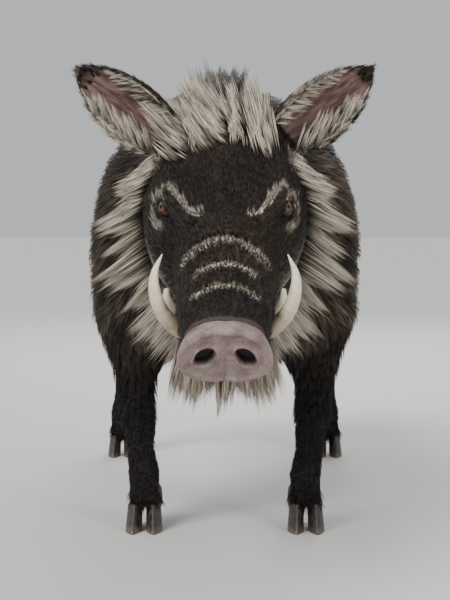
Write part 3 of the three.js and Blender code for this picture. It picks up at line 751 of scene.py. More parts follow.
def face_relief(across, rise, share):
    """How far the front of the disc stands out there."""
    rim = 0.0034 * math.exp(-(((share - 0.93) / 0.10) ** 2))
    dome = 0.0030 * (1 - share**2)
    groove = -0.0022 * math.exp(-((across / 0.0030) ** 2)) * (1 if rise < 0.006 else 0.4)
    side = abs(across)
    x = (side - NOSTRIL_SIDE) / 0.0138
    y = (rise - 0.001 + 0.36 * (side - NOSTRIL_SIDE)) / 0.0152
    tail = math.exp(-(((side - NOSTRIL_SIDE - 0.013) / 0.007) ** 2 + ((rise + 0.011) / 0.006) ** 2))
    from_hole = math.hypot(x, y) - 0.26 * tail
    hole = 1 - 1 / (1 + math.exp(-(from_hole - 0.86) / 0.055))
    lip = 0.0030 * math.exp(-(((from_hole - 1.16) / 0.17) ** 2))
    return rim + dome + groove * (1 - hole) + lip - 0.0155 * hole


disc = shown(snout_disc(), "snout_face")
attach(disc, "root")
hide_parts("snout_disc")


# ---- Tusks ------------------------------------------------------------------------------------------
LOWER_TUSK = (
    (0.344, -0.060, 0.032),
    (0.352, -0.047, 0.061),
    (0.349, -0.019, 0.085),
    (0.336, 0.008, 0.097),
    (0.317, 0.031, 0.098),
    (0.297, 0.048, 0.088),
)
UPPER_TUSK = (
    (0.320, -0.050, 0.040),
    (0.322, -0.041, 0.066),
    (0.314, -0.025, 0.081),
    (0.300, -0.012, 0.084),
)


def tusk(corners, radius, side, blunt):
    """A curved tooth of rounded three-sided section, worn to a slant at its tip."""
    line = smooth_curve([on_head(a, u, x * side) for a, u, x in corners], 56)
    along = unit(np.gradient(line, axis=0))
    around = 28
    points = []
    for i, (centre, way) in enumerate(zip(line, along)):
        t = i / (len(line) - 1)
        out = np.array((side, 0.0, 0.0))
        out = unit(out - (out @ way) * way)
        across = np.cross(way, out)
        size = radius * (1 - 0.93 * t**2.4)
        if blunt:
            size = radius * (1 - 0.55 * t**3) * (1 if t < 0.97 else 0.8)
        for k in range(around):
            turn = 2 * math.pi * k / around
            three = 1 + 0.07 * math.cos(3 * turn)
            worn = 1 - 0.45 * ramp(t, 0.72, 0.95) * max(math.cos(turn + 0.7), 0) ** 2
            reach = size * three * worn * (1 + 0.012 * math.sin(t * 70))
            points.append(centre + reach * (out * math.cos(turn) + across * math.sin(turn)))
    mesh = mesh_from("tusk", points, tube_faces(len(line), around))
    points = points_of(mesh)
    nearest = np.argmin(((points[:, None, :] - line[None, ::4, :]) ** 2).sum(axis=2), axis=1)
    give(mesh, "along", nearest * 4 / (len(line) - 1))
    return mesh


for hand, side in SIDES.items():
    for name, corners, radius, blunt in (
        ("lower", LOWER_TUSK, 0.0122, False),
        ("upper", UPPER_TUSK, 0.0088, True),
    ):
        tooth = shown(tusk(corners, radius, side, blunt), f"tooth_{name}_{hand}")
        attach(tooth, "root")
        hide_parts(f"tusk_{name}_{hand}")


# ---- Lie of the coat --------------------------------------------------------------------------------
BACKWARD = np.array((0.0, 1.0, 0.0))
DOWNWARD = np.array((0.0, 0.0, -1.0))
SIDEWAYS = np.array((1.0, 0.0, 0.0))

# For each part of the body: hair length, how steeply it stands in degrees, and tuft width.
COAT = {
    "head": (0.026, 9, 0.0050),
    "lower_jaw": (0.022, 12, 0.0050),
    "neck": (0.072, 19, 0.0100),
    "trunk": (0.060, 15, 0.0100),
    "tail": (0.026, 16, 0.0045),
    "foreleg_upper": (0.034, 14, 0.0060),
    "foreleg_lower": (0.014, 8, 0.0042),
    "hindleg_upper": (0.036, 14, 0.0062),
    "hindleg_lower": (0.014, 8, 0.0042),
}

# The root line of the cheek's long hair, from under the ear to the chin: along, up, from the midline.
RUFF_LINE = (
    (0.068, 0.030, 0.104),
    (0.084, -0.030, 0.113),
    (0.112, -0.092, 0.103),
    (0.160, -0.134, 0.080),
    (0.228, -0.116, 0.066),
    (0.290, -0.092, 0.054),
)
RUFF_LOCKS = 9
RUFF_LENGTHS = (0.062, 0.118, 0.118, 0.112, 0.092)  # of the hair, at even steps along the line


def read(mesh, name):
    """A stored number for every vertex."""
    values = np.empty(len(mesh.vertices), np.float32)
    mesh.attributes[name].data.foreach_get("value", values)
    return values.astype(float)


def nearest_on(line, points):
    """How far each point is from a line of points, and how far along the line that is."""
    off = points[:, None, :] - line[None, :, :]
    distance = np.sqrt((off**2).sum(axis=2))
    nearest = np.argmin(distance, axis=1)
    return distance[np.arange(len(points)), nearest], nearest / (len(line) - 1)


def laid_on(line, points):
    """The line moved onto the nearest of the points, and eased."""
    off = line[:, None, :] - points[None, :, :]
    nearest = points[np.argmin((off**2).sum(axis=2), axis=1)]
    for _ in range(6):
        nearest[1:-1] = (nearest[:-2] + 2 * nearest[1:-1] + nearest[2:]) / 4
    return nearest


def flattened(ways, normals):
    """Ways turned into the surface."""
    return unit(ways - (ways * normals).sum(axis=1, keepdims=True) * normals)


# How pale each marking is where it is strongest.
PALE = {
    "ruff": 0.75,
    "chin": 0.80,
    "cheek": 0.40,
    # folds: partly pale hair, partly a painted highlight on the crests of the snout folds
    "folds": 0.43,
    "brow": 0.80,
    "ear_rim": 0.72,
    "under_eye": 0.52,
}
# How dark each marking is where it is strongest.
DARK = {"face": 0.62, "muzzle": 0.75, "spine": 0.75, "round_eye": 0.95}
EAR_HAIR = (0.016, 0.0048)  # length outside the ear, and tuft width
EAR_HAIR_STEEP = 14  # degrees
EAR_COAT_DEPTH = 0.004


class Coat:
    """What the coat does at every vertex of the skin."""

    def __init__(self, mesh):
        self.mesh = mesh
        self.points = points_of(mesh)
        self.edges = edges_of(mesh)
        self.normals = unit(relaxed(normals_of(mesh), self.edges, 3))
        self.along, self.up, self.across = in_head(self.points)
        self.side = np.sign(self.across)
        self.share = {part: read(mesh, f"part_{part}") for part in COAT}
        self.ear = (read(mesh, "ear_along") > -0.5).astype(float)
        self.ear_along = read(mesh, "ear_along")
        self.ear_inside = read(mesh, "ear_inside")
        self.ear_off = np.zeros(len(self.points))
        self.area = vertex_areas(mesh)
        self.set_ways()
        self.set_sizes()
        self.set_markings_and_fold_shading()

    def set_ways(self):
        """Which way hair points: back along the body, down the legs and up the ears to their rims."""
        y = self.points[:, 1]
        flank = np.abs(self.normals[:, 0])
        column = np.ones((len(y), 1))
        low_face = ramp(self.up, 0.02, -0.05)[:, None]
        ways = {
            "trunk": BACKWARD + DOWNWARD * (0.10 + 0.35 * flank + 1.5 * ramp(y, 0.52, 0.68))[:, None],
            "neck": BACKWARD + DOWNWARD * (0.10 + 0.55 * flank)[:, None],
            "head": -SNOUTWARD * column - BROWWARD * 0.45 * low_face
            + SIDEWAYS * (0.18 * self.side)[:, None],
            "lower_jaw": (-SNOUTWARD + 0.35 * DOWNWARD) * column,
            "tail": (DOWNWARD + 0.1 * BACKWARD) * column,
        }
        leg_way = (DOWNWARD + 0.16 * BACKWARD) * column
        total = sum(self.share[part][:, None] * ways.get(part, leg_way) for part in COAT)
        for side in SIDES.values():
            out, _, spread = ear_axes(side)
            mine = (self.ear * (self.across * side > 0))[:, None]
            off_middle = (self.points - ear_root(side)) @ spread / (EAR_WIDTH / 2)
            self.ear_off = np.where(mine[:, 0] > 0, off_middle, self.ear_off)
            to_rim = off_middle[:, None] * spread * 1.1
            total = total * (1 - mine) + (out + 0.7 * to_rim) * mine
        self.ear_across = np.abs(self.ear_off)
        lie = flattened(total, self.normals)
        lie = flattened(relaxed(lie, self.edges, 8), self.normals)
        steep = sum(self.share[part] * COAT[part][1] for part in COAT) + EAR_HAIR_STEEP * self.ear
        steep = np.radians(steep)[:, None]
        self.way = lie * np.cos(steep) + self.normals * np.sin(steep)

    def grain(self):
        """Each point's place, measured first along the hair of its part and then twice across it."""
        x, y, z = self.points.T
        on_face = np.stack((self.along, self.up, self.across), axis=1)
        on_body = np.stack((y, x, z), axis=1)
        on_limb = np.stack((z, x, y), axis=1)
        frames = {"head": on_face, "lower_jaw": on_face, "neck": on_body, "trunk": on_body}
        grain = sum(self.share[part][:, None] * frames.get(part, on_limb) for part in COAT)
        for side in SIDES.values():
            out, opening, spread = ear_axes(side)
            mine = (self.ear * (self.across * side > 0))[:, None]
            on_ear = np.stack((self.points @ out, self.points @ opening, self.points @ spread), axis=1)
            grain = grain * (1 - mine) + on_ear * mine
        return grain

    def set_sizes(self):
        """Length, width and depth of hair: short on the snout, long on crown, shoulders and hooves."""
        y = self.points[:, 1]
        length = sum(self.share[part] * COAT[part][0] for part in COAT)
        width = sum(self.share[part] * COAT[part][2] for part in COAT)
        face = self.share["head"] + self.share["lower_jaw"]
        snout = ramp(self.along, 0.10, 0.34)
        length = length * (1 - face * snout * 0.50)
        width = width * (1 - face * snout * 0.38)
        crown = face * ramp(self.along, 0.10, -0.02)
        length = length + crown * 0.022
        width = width + crown * 0.003
        shoulder = self.share["trunk"] * ramp(y, 0.10, -0.15)
        length = length + shoulder * 0.010
        belly = self.share["trunk"] * ramp(-self.normals[:, 2], 0.5, 0.9)
        length = length * (1 - 0.25 * belly)
        length = length * (1 - self.ear) + self.ear * (EAR_HAIR[0] + 0.010 * self.ear_inside)
        width = width * (1 - self.ear) + self.ear * EAR_HAIR[1]
        depth = sum(self.share[part] * COAT_DEPTH[part] for part in COAT)
        coronet = (1 - self.ear) * ramp(self.points[:, 2], 0.078, 0.052)
        length = length + 0.008 * coronet
        self.length = length
        self.width = width
        self.depth = depth * (1 - self.ear) + EAR_COAT_DEPTH * self.ear + 0.006 * coronet

    def set_markings_and_fold_shading(self):
        """Pale ruffs, chin, brows and ear rims, and pale fold crests that are partly a painted
        highlight; dark legs, muzzle, spine and ears, and painted shade in the creases of the snout
        folds.
        """
        z = self.points[:, 2]
        face = np.clip(self.share["head"] + self.share["lower_jaw"], 0, 1)
        side = np.abs(self.across)
        cheek_line = np.zeros(len(z))
        for hand_side in SIDES.values():
            line = smooth_curve([on_head(a, u, hand_side * x) for a, u, x in RUFF_LINE], 50)
            distance, _ = nearest_on(line, self.points)
            cheek_line = np.maximum(cheek_line, ramp(distance, 0.046, 0.014))
        _, ridge, crease = snout_folds(self.along, self.up, side)
        pale_parts = {
            "ruff": cheek_line,
            "chin": ramp(self.up, -0.056, -0.085) * face,
            "cheek": hump(np.hypot((self.along - 0.20) / 1.5, self.up + 0.055), 0.04) * face,
            # Pale on the fold crests: partly pale hair, partly a painted highlight
            "folds": ramp(ridge, 0.12, 0.85) * face,
            "brow": brow_hair(self.along, self.up, side) * face,
            "ear_rim": self.ear_inside
            * ramp(self.ear_across, 0.30, 0.62)
            * ramp(self.ear_along, 0.99, 0.84),
        }
        self.pale = np.max([PALE[name] * part for name, part in pale_parts.items()], axis=0)
        self.crease = crease * face
        lower_leg = self.share["foreleg_lower"] + self.share["hindleg_lower"]
        upper_leg = self.share["foreleg_upper"] + self.share["hindleg_upper"]
        dark = lower_leg + upper_leg * ramp(z, 0.42, 0.25)
        muzzle = ramp(self.along, 0.27, 0.40) * DARK["muzzle"] * ramp(self.up, -0.07, -0.04)
        dark = np.maximum(dark, face * np.maximum(muzzle, DARK["face"]))
        spine = hump(self.across, 0.05) * ramp(self.normals[:, 2], 0.2, 0.7) * (1 - face * 0.6)
        dark = np.maximum(dark, spine * DARK["spine"])
        dark = np.maximum(dark, self.ear * (1 - 0.75 * self.ear_inside))
        for hand_side in SIDES.values():
            _, _, upward = eye_axes(hand_side)
            off = self.points - eye_middle(hand_side)
            away = np.linalg.norm(off, axis=1)
            dark = np.maximum(dark, hump(away - 0.014, 0.010) * DARK["round_eye"])
            below = ramp(off @ upward, -0.006, -0.018)
            patch = hump(away - 0.033, 0.008) * below * face
            self.pale = np.maximum(self.pale, PALE["under_eye"] * patch)
        # Painted shade in the creases between the snout folds
        dark = np.maximum(dark, self.crease)
        self.dark = np.clip(dark, 0, 1) * (1 - self.pale * 0.8)

    def ear_cup(self):
        """1 on the bare skin down inside the ears."""
        return self.ear_inside * ramp(self.ear_across, 0.66, 0.50) * ramp(self.ear_along, 0.95, 0.82)

    def bare(self):
        """1 where no hair grows."""
        bare = ramp(self.along, 0.424, 0.430) * (self.share["head"] > 0.3)
        for side in SIDES.values():
            look, inward, upward = eye_axes(side)
            off = self.points - eye_middle(side)
            away = np.hypot(off @ inward * 0.8, off @ upward)
            bare = np.maximum(bare, ramp(away, 0.0165, 0.013) * ((off @ look) > -0.015))
        feet = (self.share["foreleg_lower"] + self.share["hindleg_lower"]) > 0.5
        bare = np.maximum(bare, feet * ramp(self.points[:, 2], 0.047, 0.043))
        bare = np.maximum(bare, self.ear * (self.ear_along < 0.02))
        bare = np.maximum(bare, self.ear_cup())
        return np.clip(bare, 0, 1)


def store_coat(coat):
    """Keeps the markings, with the painted light and shade of the snout folds, and the grain on the
    skin, for its own finish.
    """
    give(coat.mesh, "pale", coat.pale)
    give(coat.mesh, "dark", coat.dark)
    give(coat.mesh, "grain", coat.grain())
    give(coat.mesh, "bare", coat.bare())
    give(coat.mesh, "cup", coat.ear_cup())
    give(coat.mesh, "root", coat.points)


# ---- Tufts ------------------------------------------------------------------------------------------
def blade(rng, spread, stations, width, droop):
    """One closed three-sided blade from x 0 to about 1: points, faces, and how far along each is."""
    if stations == 1:
        width = width * 1.9
    start = rng.uniform(-0.5, 0.5) * spread
    end = start * rng.uniform(0.2, 1.1) + rng.normal(0, 0.10) * spread
    reach = rng.uniform(0.72, 1.0)
    root = rng.uniform(-0.06, 0.06)
    wave = rng.normal(0, 0.10) * spread
    thick = rng.uniform(0.0, 0.3)
    points = []
    along = []
    for i, t in enumerate(np.linspace(0, 1, stations + 1)[:-1]):
        x = root + reach * t
        y = start + (end - start) * t + wave * math.sin(math.pi * t)
        z = thick + droop * t * (1 - t)
        half = width * (0.30 + 0.22 * math.sin(math.pi * min(t * 1.3, 1))) * (1 if i else 0.7)
        points += [(x, y - half, z), (x, y + half, z), (x, y, z + half * 1.1)]
        along += [t] * 3
    points.append((root + reach, end, thick))
    along.append(1.0)
    faces = [(0, 1, 2)]
    for i in range(stations - 1):
        for k in range(3):
            a = 3 * i + k
            b = 3 * i + (k + 1) % 3
            faces.append((a, a + 3, b + 3, b))
    last = 3 * (stations - 1)
    tip = 3 * stations
    faces += [(last + k, tip, last + (k + 1) % 3) for k in range(3)]
    return points, faces, along


def tuft_set(name, variants, blades, spread, width, droop, seed):
    """A collection of small bundles one unit long. A blade is given by how often it may bend."""
    collection = bpy.data.collections.new(name)
    rng = np.random.default_rng(seed)
    for variant in range(variants):
        points = []
        faces = []
        along = []
        strand = []
        for stations in blades:
            more, sides, t = blade(rng, spread, stations, width, droop)
            faces += [tuple(len(points) + i for i in side) for side in sides]
            points += more
            along += t
            strand += [rng.random()] * len(more)
        mesh = bpy.data.meshes.new(f"{name}_{variant}")
        mesh.from_pydata(points, [], faces)
        shape = bmesh.new()
        shape.from_mesh(mesh)
        bmesh.ops.recalc_face_normals(shape, faces=shape.faces)
        shape.to_mesh(mesh)
        shape.free()
        give(mesh, "along", along)
        give(mesh, "strand", strand)
        smooth_faces(mesh)
        collection.objects.link(bpy.data.objects.new(mesh.name, mesh))
    return collection


class Nodes:
    """Adds nodes to a tree and joins them by the names of their sockets."""

    def __init__(self, tree):
        self.tree = tree

    def __call__(self, kind, inputs=None, **settings):
        node = self.tree.nodes.new(kind)
        for key, value in settings.items():
            setattr(node, key, value)
        self.feed(node, inputs or {})
        return node

    def feed(self, node, inputs):
        """Joins each socket to what feeds it, or sets it where it is the same all over."""
        for key, value in inputs.items():
            if isinstance(value, bpy.types.NodeSocket):
                self.tree.links.new(value, node.inputs[key])
            else:
                node.inputs[key].default_value = value

    def place(self):
        return self("ShaderNodeTexCoord").outputs["Object"]

    def math(self, operation, a, b=0.0, c=0.0):
        node = self("ShaderNodeMath", {0: a, 1: b, 2: c}, operation=operation)
        return node.outputs[0]

    def vector(self, operation, a, b=(0, 0, 0)):
        node = self("ShaderNodeVectorMath", {0: a, 1: b}, operation=operation)
        return node.outputs["Value" if operation == "DOT_PRODUCT" else "Vector"]

    def scaled(self, vector, number):
        node = self("ShaderNodeVectorMath", {0: vector, "Scale": number}, operation="SCALE")
        return node.outputs[0]

    def named(self, name, kind="FLOAT"):
        node = self("GeometryNodeInputNamedAttribute", {"Name": name}, data_type=kind)
        return node.outputs[0]

    def chance(self, low, high, seed):
        node = self("FunctionNodeRandomValue", {2: low, 3: high, 8: seed}, data_type="FLOAT")
        return node.outputs[1]

    def store(self, geometry, name, value, kind, domain):
        node = self(
            "GeometryNodeStoreNamedAttribute",
            {"Geometry": geometry, "Name": name, "Value": value},
            data_type=kind,
            domain=domain,
        )
        return node.outputs[0]


def add_sockets(group, rows):
    """Gives the group its sockets: a name, INPUT or OUTPUT, and a kind for each."""
    for name, way, kind in rows:
        group.interface.new_socket(name, in_out=way, socket_type=f"NodeSocket{kind}")


COAT_SOCKETS = (
    ("Skin", "INPUT", "Geometry"),
    ("Tufts", "INPUT", "Collection"),
    ("Tufts per Square Metre", "INPUT", "Float"),
    ("Spread", "INPUT", "Float"),
    ("Close Lying", "INPUT", "Bool"),
    ("Seed", "INPUT", "Int"),
    ("Material", "INPUT", "Material"),
    ("Coat", "OUTPUT", "Geometry"),
)
PATCH = 0.003  # size of a tuft's patch on the skin's unwrap


def coat_tree():
    """Scatters tufts over the skin, turned to the lie of the coat, and lays them close to it."""
    tree = bpy.data.node_groups.new("coat", "GeometryNodeTree")
    add_sockets(tree, COAT_SOCKETS)
    node = Nodes(tree)
    given = node("NodeGroupInput").outputs
    seed = given["Seed"]
    thick = node.math("MULTIPLY", node.named("where"), given["Tufts per Square Metre"])
    scatter = node(
        "GeometryNodeDistributePointsOnFaces",
        {"Mesh": given["Skin"], "Density": thick, "Seed": seed},
        distribute_method="RANDOM",
    )
    place = node("GeometryNodeInputPosition").outputs[0]
    rooted = node.store(scatter.outputs["Points"], "root", place, "FLOAT_VECTOR", "POINT")
    away = node.named("away", "FLOAT_VECTOR")
    way = node.named("way", "FLOAT_VECTOR")
    across = node.vector("CROSS_PRODUCT", away, way)
    swing = node.math("MULTIPLY", node.chance(-1.0, 1.0, seed), given["Spread"])
    seed_b = node("FunctionNodeRandomValue", {4: 0, 5: 99999, 8: seed}, data_type="INT").outputs[2]
    swung = node.vector("ADD", way, node.scaled(across, swing))
    lift = node.math("MULTIPLY", given["Spread"], node.chance(-0.25, 0.6, seed_b))
    swung = node.vector("ADD", swung, node.scaled(away, lift))
    turn = node(
        "FunctionNodeAxesToRotation",
        {"Primary Axis": swung, "Secondary Axis": away},
        primary_axis="X",
        secondary_axis="Z",
    )
    long = node.math("MULTIPLY", node.named("hair_length"), node.chance(0.72, 1.12, seed_b))
    wide = node.math("MULTIPLY", node.named("hair_width"), node.chance(0.75, 1.2, seed))
    size = node("ShaderNodeCombineXYZ", {"X": long, "Y": wide, "Z": wide}).outputs[0]
    bundles = node(
        "GeometryNodeCollectionInfo",
        {"Collection": given["Tufts"], "Separate Children": True, "Reset Children": True},
    )
    pick = node("FunctionNodeRandomValue", {4: 0, 5: 63, 8: seed}, data_type="INT").outputs[2]
    planted = node(
        "GeometryNodeInstanceOnPoints",
        {
            "Points": rooted,
            "Instance": bundles.outputs[0],
            "Pick Instance": True,
            "Instance Index": pick,
            "Rotation": turn.outputs[0],
            "Scale": size,
        },
    )
    shaded = node.store(
        planted.outputs[0], "shade", node.chance(0.0, 1.0, seed_b), "FLOAT", "INSTANCE"
    )
    solid = node("GeometryNodeRealizeInstances", {"Geometry": shaded}).outputs[0]
    laid = laid_close(node, solid, given["Skin"], place)
    choice = node(
        "GeometryNodeSwitch",
        {"Switch": given["Close Lying"], "False": solid, "True": laid},
        input_type="GEOMETRY",
    )
    patch = node(
        "ShaderNodeCombineXYZ",
        {"X": node.named("strand"), "Y": node.named("along")},
    ).outputs[0]
    patch = node.scaled(node.vector("SUBTRACT", patch, (0.5, 0.5, 0)), PATCH)
    unwrap = node.vector("ADD", node.named("OFBake", "FLOAT_VECTOR"), patch)
    mapped = node.store(choice.outputs[0], "OFBake", unwrap, "FLOAT2", "CORNER")
    clad = node("GeometryNodeSetMaterial", {"Geometry": mapped, "Material": given["Material"]})
    node("NodeGroupOutput", {"Coat": clad.outputs[0]})
    return tree


def laid_close(node, geometry, skin, place):
    """Brings every blade within the coat's depth of the skin, and none of it under the skin."""
    def on_skin(value):
        sample = node(
            "GeometryNodeSampleNearestSurface",
            {"Mesh": skin, "Value": value, "Sample Position": place},
            data_type="FLOAT_VECTOR",
        )
        return sample.outputs[0]

    near = on_skin(place)
    outward = on_skin(node.named("away", "FLOAT_VECTOR"))
    height = node.vector("DOT_PRODUCT", node.vector("SUBTRACT", place, near), outward)
    along = node.named("along")
    lowest = node.math("MULTIPLY_ADD", along, 0.003, -0.0012)
    room = node.math("MULTIPLY_ADD", node.named("shade"), 0.5, 0.5)
    highest = node.math("MULTIPLY", node.named("hair_depth"), room)
    kept = node.math("MAXIMUM", node.math("MINIMUM", height, highest), lowest)
    change = node.math("SUBTRACT", kept, height)
    moved = node(
        "GeometryNodeSetPosition",
        {"Geometry": geometry, "Offset": node.scaled(outward, change)},
    )
    return moved.outputs[0]


# What a copy of the skin keeps when hair is grown on it, and what the finished hair no longer needs.
KEPT_TO_GROW = {"position", ".edge_verts", ".corner_vert", ".corner_edge", "OFBake", "sharp_face"}
SPENT_ON_GROWTH = ("where", "way", "away", "hair_length", "hair_width", "hair_depth")


def grown(name, coat, tree, tufts, count, where, seed, material, close=True, spread=0.22, **changes):
    """A piece of the coat: so many tufts where wanted, as one plain mesh."""
    facts = {
        "way": coat.way,
        "away": coat.normals,
        "hair_length": coat.length,
        "hair_width": coat.width,
        "hair_depth": coat.depth,
        "pale": coat.pale,
        "dark": coat.dark,
        **changes,
    }
    where = where * (1 - coat.bare())
    base = coat.mesh.copy()
    for spare in [a.name for a in base.attributes if a.name not in KEPT_TO_GROW]:
        base.attributes.remove(base.attributes[spare])
    facts["where"] = where
    for key, values in facts.items():
        give(base, key, values)
    area = float((where * coat.area).sum())
    piece = shown(base, name)
    scatter = piece.modifiers.new("coat", "NODES")
    scatter.node_group = tree
    sockets = {
        item.name: item.identifier for item in tree.interface.items_tree if item.in_out == "INPUT"
    }
    for key, value in {
        "Tufts": tufts,
        "Tufts per Square Metre": count / area,
        "Spread": spread,
        "Close Lying": close,
        "Seed": seed,
        "Material": material,
    }.items():
        scatter[sockets[key]] = value
    mesh = settled(piece)
    for spare in SPENT_ON_GROWTH:
        if spare in mesh.attributes:
            mesh.attributes.remove(mesh.attributes[spare])
    smooth_faces(mesh)
    made = shown(mesh, name)
    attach(made, "root")
    return made


def unwrapped(piece, name):
    """Gives the piece an unwrap of its own shape."""
    piece.data.uv_layers.new(name=name)
    bpy.context.view_layer.objects.active = piece
    piece.select_set(True)
    bpy.ops.object.mode_set(mode="EDIT")
    bpy.ops.mesh.select_all(action="SELECT")
    bpy.ops.uv.smart_project(angle_limit=math.radians(66), island_margin=0.002)
    bpy.ops.object.mode_set(mode="OBJECT")
    piece.select_set(False)


# ---- Finishes ---------------------------------------------------------------------------------------
BRISTLE_COLOURS = {
    "Ground": (0.030, 0.023, 0.018, 1),
    "Rusty": (0.085, 0.056, 0.036, 1),
    "Grizzle": (0.27, 0.215, 0.155, 1),
    "Points": (0.0165, 0.0135, 0.0120, 1),
    "Cheeks": (0.50, 0.44, 0.355, 1),
}
TINTS = {
    "bare_dark": (0.030, 0.022, 0.020, 1),
    "bare_worn": (0.085, 0.060, 0.052, 1),
    "ear_dark": (0.088, 0.050, 0.042, 1),
    "ear_rose": (0.215, 0.138, 0.118, 1),
    "lid_dark": (0.010, 0.0075, 0.0065, 1),
    "lid_worn": (0.042, 0.030, 0.026, 1),
    "lash_black": (0.006, 0.005, 0.004, 1),
    "lash_brown": (0.028, 0.020, 0.014, 1),
    "pupil": (0.002, 0.0015, 0.001, 1),
    "iris_dark": (0.075, 0.028, 0.008, 1),
    "iris_amber": (0.230, 0.096, 0.026, 1),
    "iris_edge": (0.012, 0.007, 0.005, 1),
    "eye_white": (0.085, 0.062, 0.052, 1),
    "snout_grey": (0.200, 0.134, 0.124, 1),
    "snout_rose": (0.400, 0.292, 0.266, 1),
    "snout_crack": (0.150, 0.100, 0.092, 1),
    # painted shade for the inside of the nostrils
    "nostril": (0.010, 0.006, 0.006, 1),
    "ivory_root": (0.300, 0.205, 0.110, 1),
    "ivory_tip": (0.790, 0.720, 0.560, 1),
    "ivory_dirt": (0.130, 0.075, 0.038, 1),
    "ivory_ring": (0.360, 0.270, 0.160, 1),
    "horn_dark": (0.016, 0.012, 0.010, 1),
    "horn_brown": (0.062, 0.046, 0.036, 1),
    "horn_dust": (0.150, 0.122, 0.092, 1),
}


def mixed(node, factor, first, second, blend="MIX"):
    """A colour between two, or the second laid on the first. A name stands for its tint."""
    first = TINTS[first] if isinstance(first, str) else first
    second = TINTS[second] if isinstance(second, str) else second
    made = node("ShaderNodeMix", {0: factor, 6: first, 7: second}, data_type="RGBA", blend_type=blend)
    return made.outputs[2]


def noise(node, vector, scale, detail=2.0, rough=0.5, kind="Fac"):
    """Soft random change over a surface, so many times a metre."""
    made = node(
        "ShaderNodeTexNoise",
        {"Vector": vector, "Scale": scale, "Detail": detail, "Roughness": rough},
    )
    return made.outputs[kind]


def eased(node, value, start, end, low=0.0, high=1.0):
    """The value taken from one range to another with smooth ends."""
    made = node(
        "ShaderNodeMapRange",
        {"Value": value, "From Min": start, "From Max": end, "To Min": low, "To Max": high},
        interpolation_type="SMOOTHSTEP",
    )
    return made.outputs[0]


def stored(node, name, output="Fac"):
    """What the mesh stores under the name."""
    return node("ShaderNodeAttribute", attribute_name=name).outputs[output]


def bumped(node, strength, distance, height):
    made = node("ShaderNodeBump", {"Strength": strength, "Distance": distance, "Height": height})
    return made.outputs[0]


def coat_colours():
    """The markings: black-brown ground, rusty patches, grizzled tips, dark points, pale cheeks."""
    group = bpy.data.node_groups.new("coat_colours", "ShaderNodeTree")
    sockets = [("Place", "INPUT", "Vector")]
    sockets += [(name, "INPUT", "Float") for name in ("Along", "Shade", "Strand", "Pale", "Dark")]
    sockets += [(name, "INPUT", "Color") for name in BRISTLE_COLOURS]
    sockets += [("Color", "OUTPUT", "Color"), ("Roughness", "OUTPUT", "Float")]
    add_sockets(group, sockets)
    node = Nodes(group)
    given = node("NodeGroupInput").outputs
    patches = eased(node, noise(node, given["Place"], 5.5, 3.0), 0.40, 0.66)
    colour = mixed(node, patches, given["Ground"], given["Rusty"])
    tipped = eased(node, given["Along"], 0.35, 1.0)
    chosen = eased(node, given["Shade"], 0.45, 0.75)
    broken = eased(node, noise(node, given["Place"], 22.0, 2.0), 0.35, 0.60)
    tips = node.math("MULTIPLY", node.math("MULTIPLY", tipped, chosen), broken)
    colour = mixed(node, tips, colour, given["Grizzle"])
    # Dark also carries the painted shade in the creases of the snout folds
    colour = mixed(node, given["Dark"], colour, given["Points"])
    # Pale also carries the painted highlight on the snout-fold crests, which is partly pale hair
    ticked = node.math("MULTIPLY", given["Pale"], 1.35)
    ticked = node.math("MULTIPLY_ADD", given["Shade"], 0.55, ticked)
    paleness = eased(node, ticked, 0.55, 1.15)
    paleness = node.math("MULTIPLY", paleness, eased(node, given["Along"], 0.0, 0.6, 0.30, 1.0))
    colour = mixed(node, paleness, colour, given["Cheeks"])
    light = node.math("MULTIPLY_ADD", given["Strand"], 0.55, 0.62)
    light = node.math("MULTIPLY", light, node.math("MULTIPLY_ADD", given["Shade"], 0.4, 0.85))
    light = node.math("MULTIPLY", light, eased(node, given["Along"], 0.0, 0.5, 0.70, 1.0))
    grey = node("ShaderNodeCombineColor", {0: light, 1: light, 2: light}).outputs[0]
    colour = mixed(node, 1.0, colour, grey, "MULTIPLY")
    rough = node.math("MULTIPLY_ADD", given["Shade"], 0.16, 0.47)
    node("NodeGroupOutput", {"Color": colour, "Roughness": rough})
    return group


def blank_material(name):
    """A material with a bare Principled shader, and the maker of its nodes."""
    material = bpy.data.materials.new(name)
    material.use_nodes = True
    return material, Nodes(material.node_tree), material.node_tree.nodes["Principled BSDF"]


def bristle_material(colours):
    """Hair, coloured by where it is rooted and lighter towards its tip."""
    material, node, shader = blank_material("bristle")
    facts = {name: stored(node, name.lower()) for name in ("Along", "Shade", "Strand", "Pale", "Dark")}
    facts["Place"] = stored(node, "root", "Vector")
    made = node("ShaderNodeGroup", {**facts, **BRISTLE_COLOURS}, node_tree=colours)
    node.feed(shader, {
        "Base Color": made.outputs["Color"],
        "Roughness": made.outputs["Roughness"],
        "Specular IOR Level": 0.36,
    })
    return material


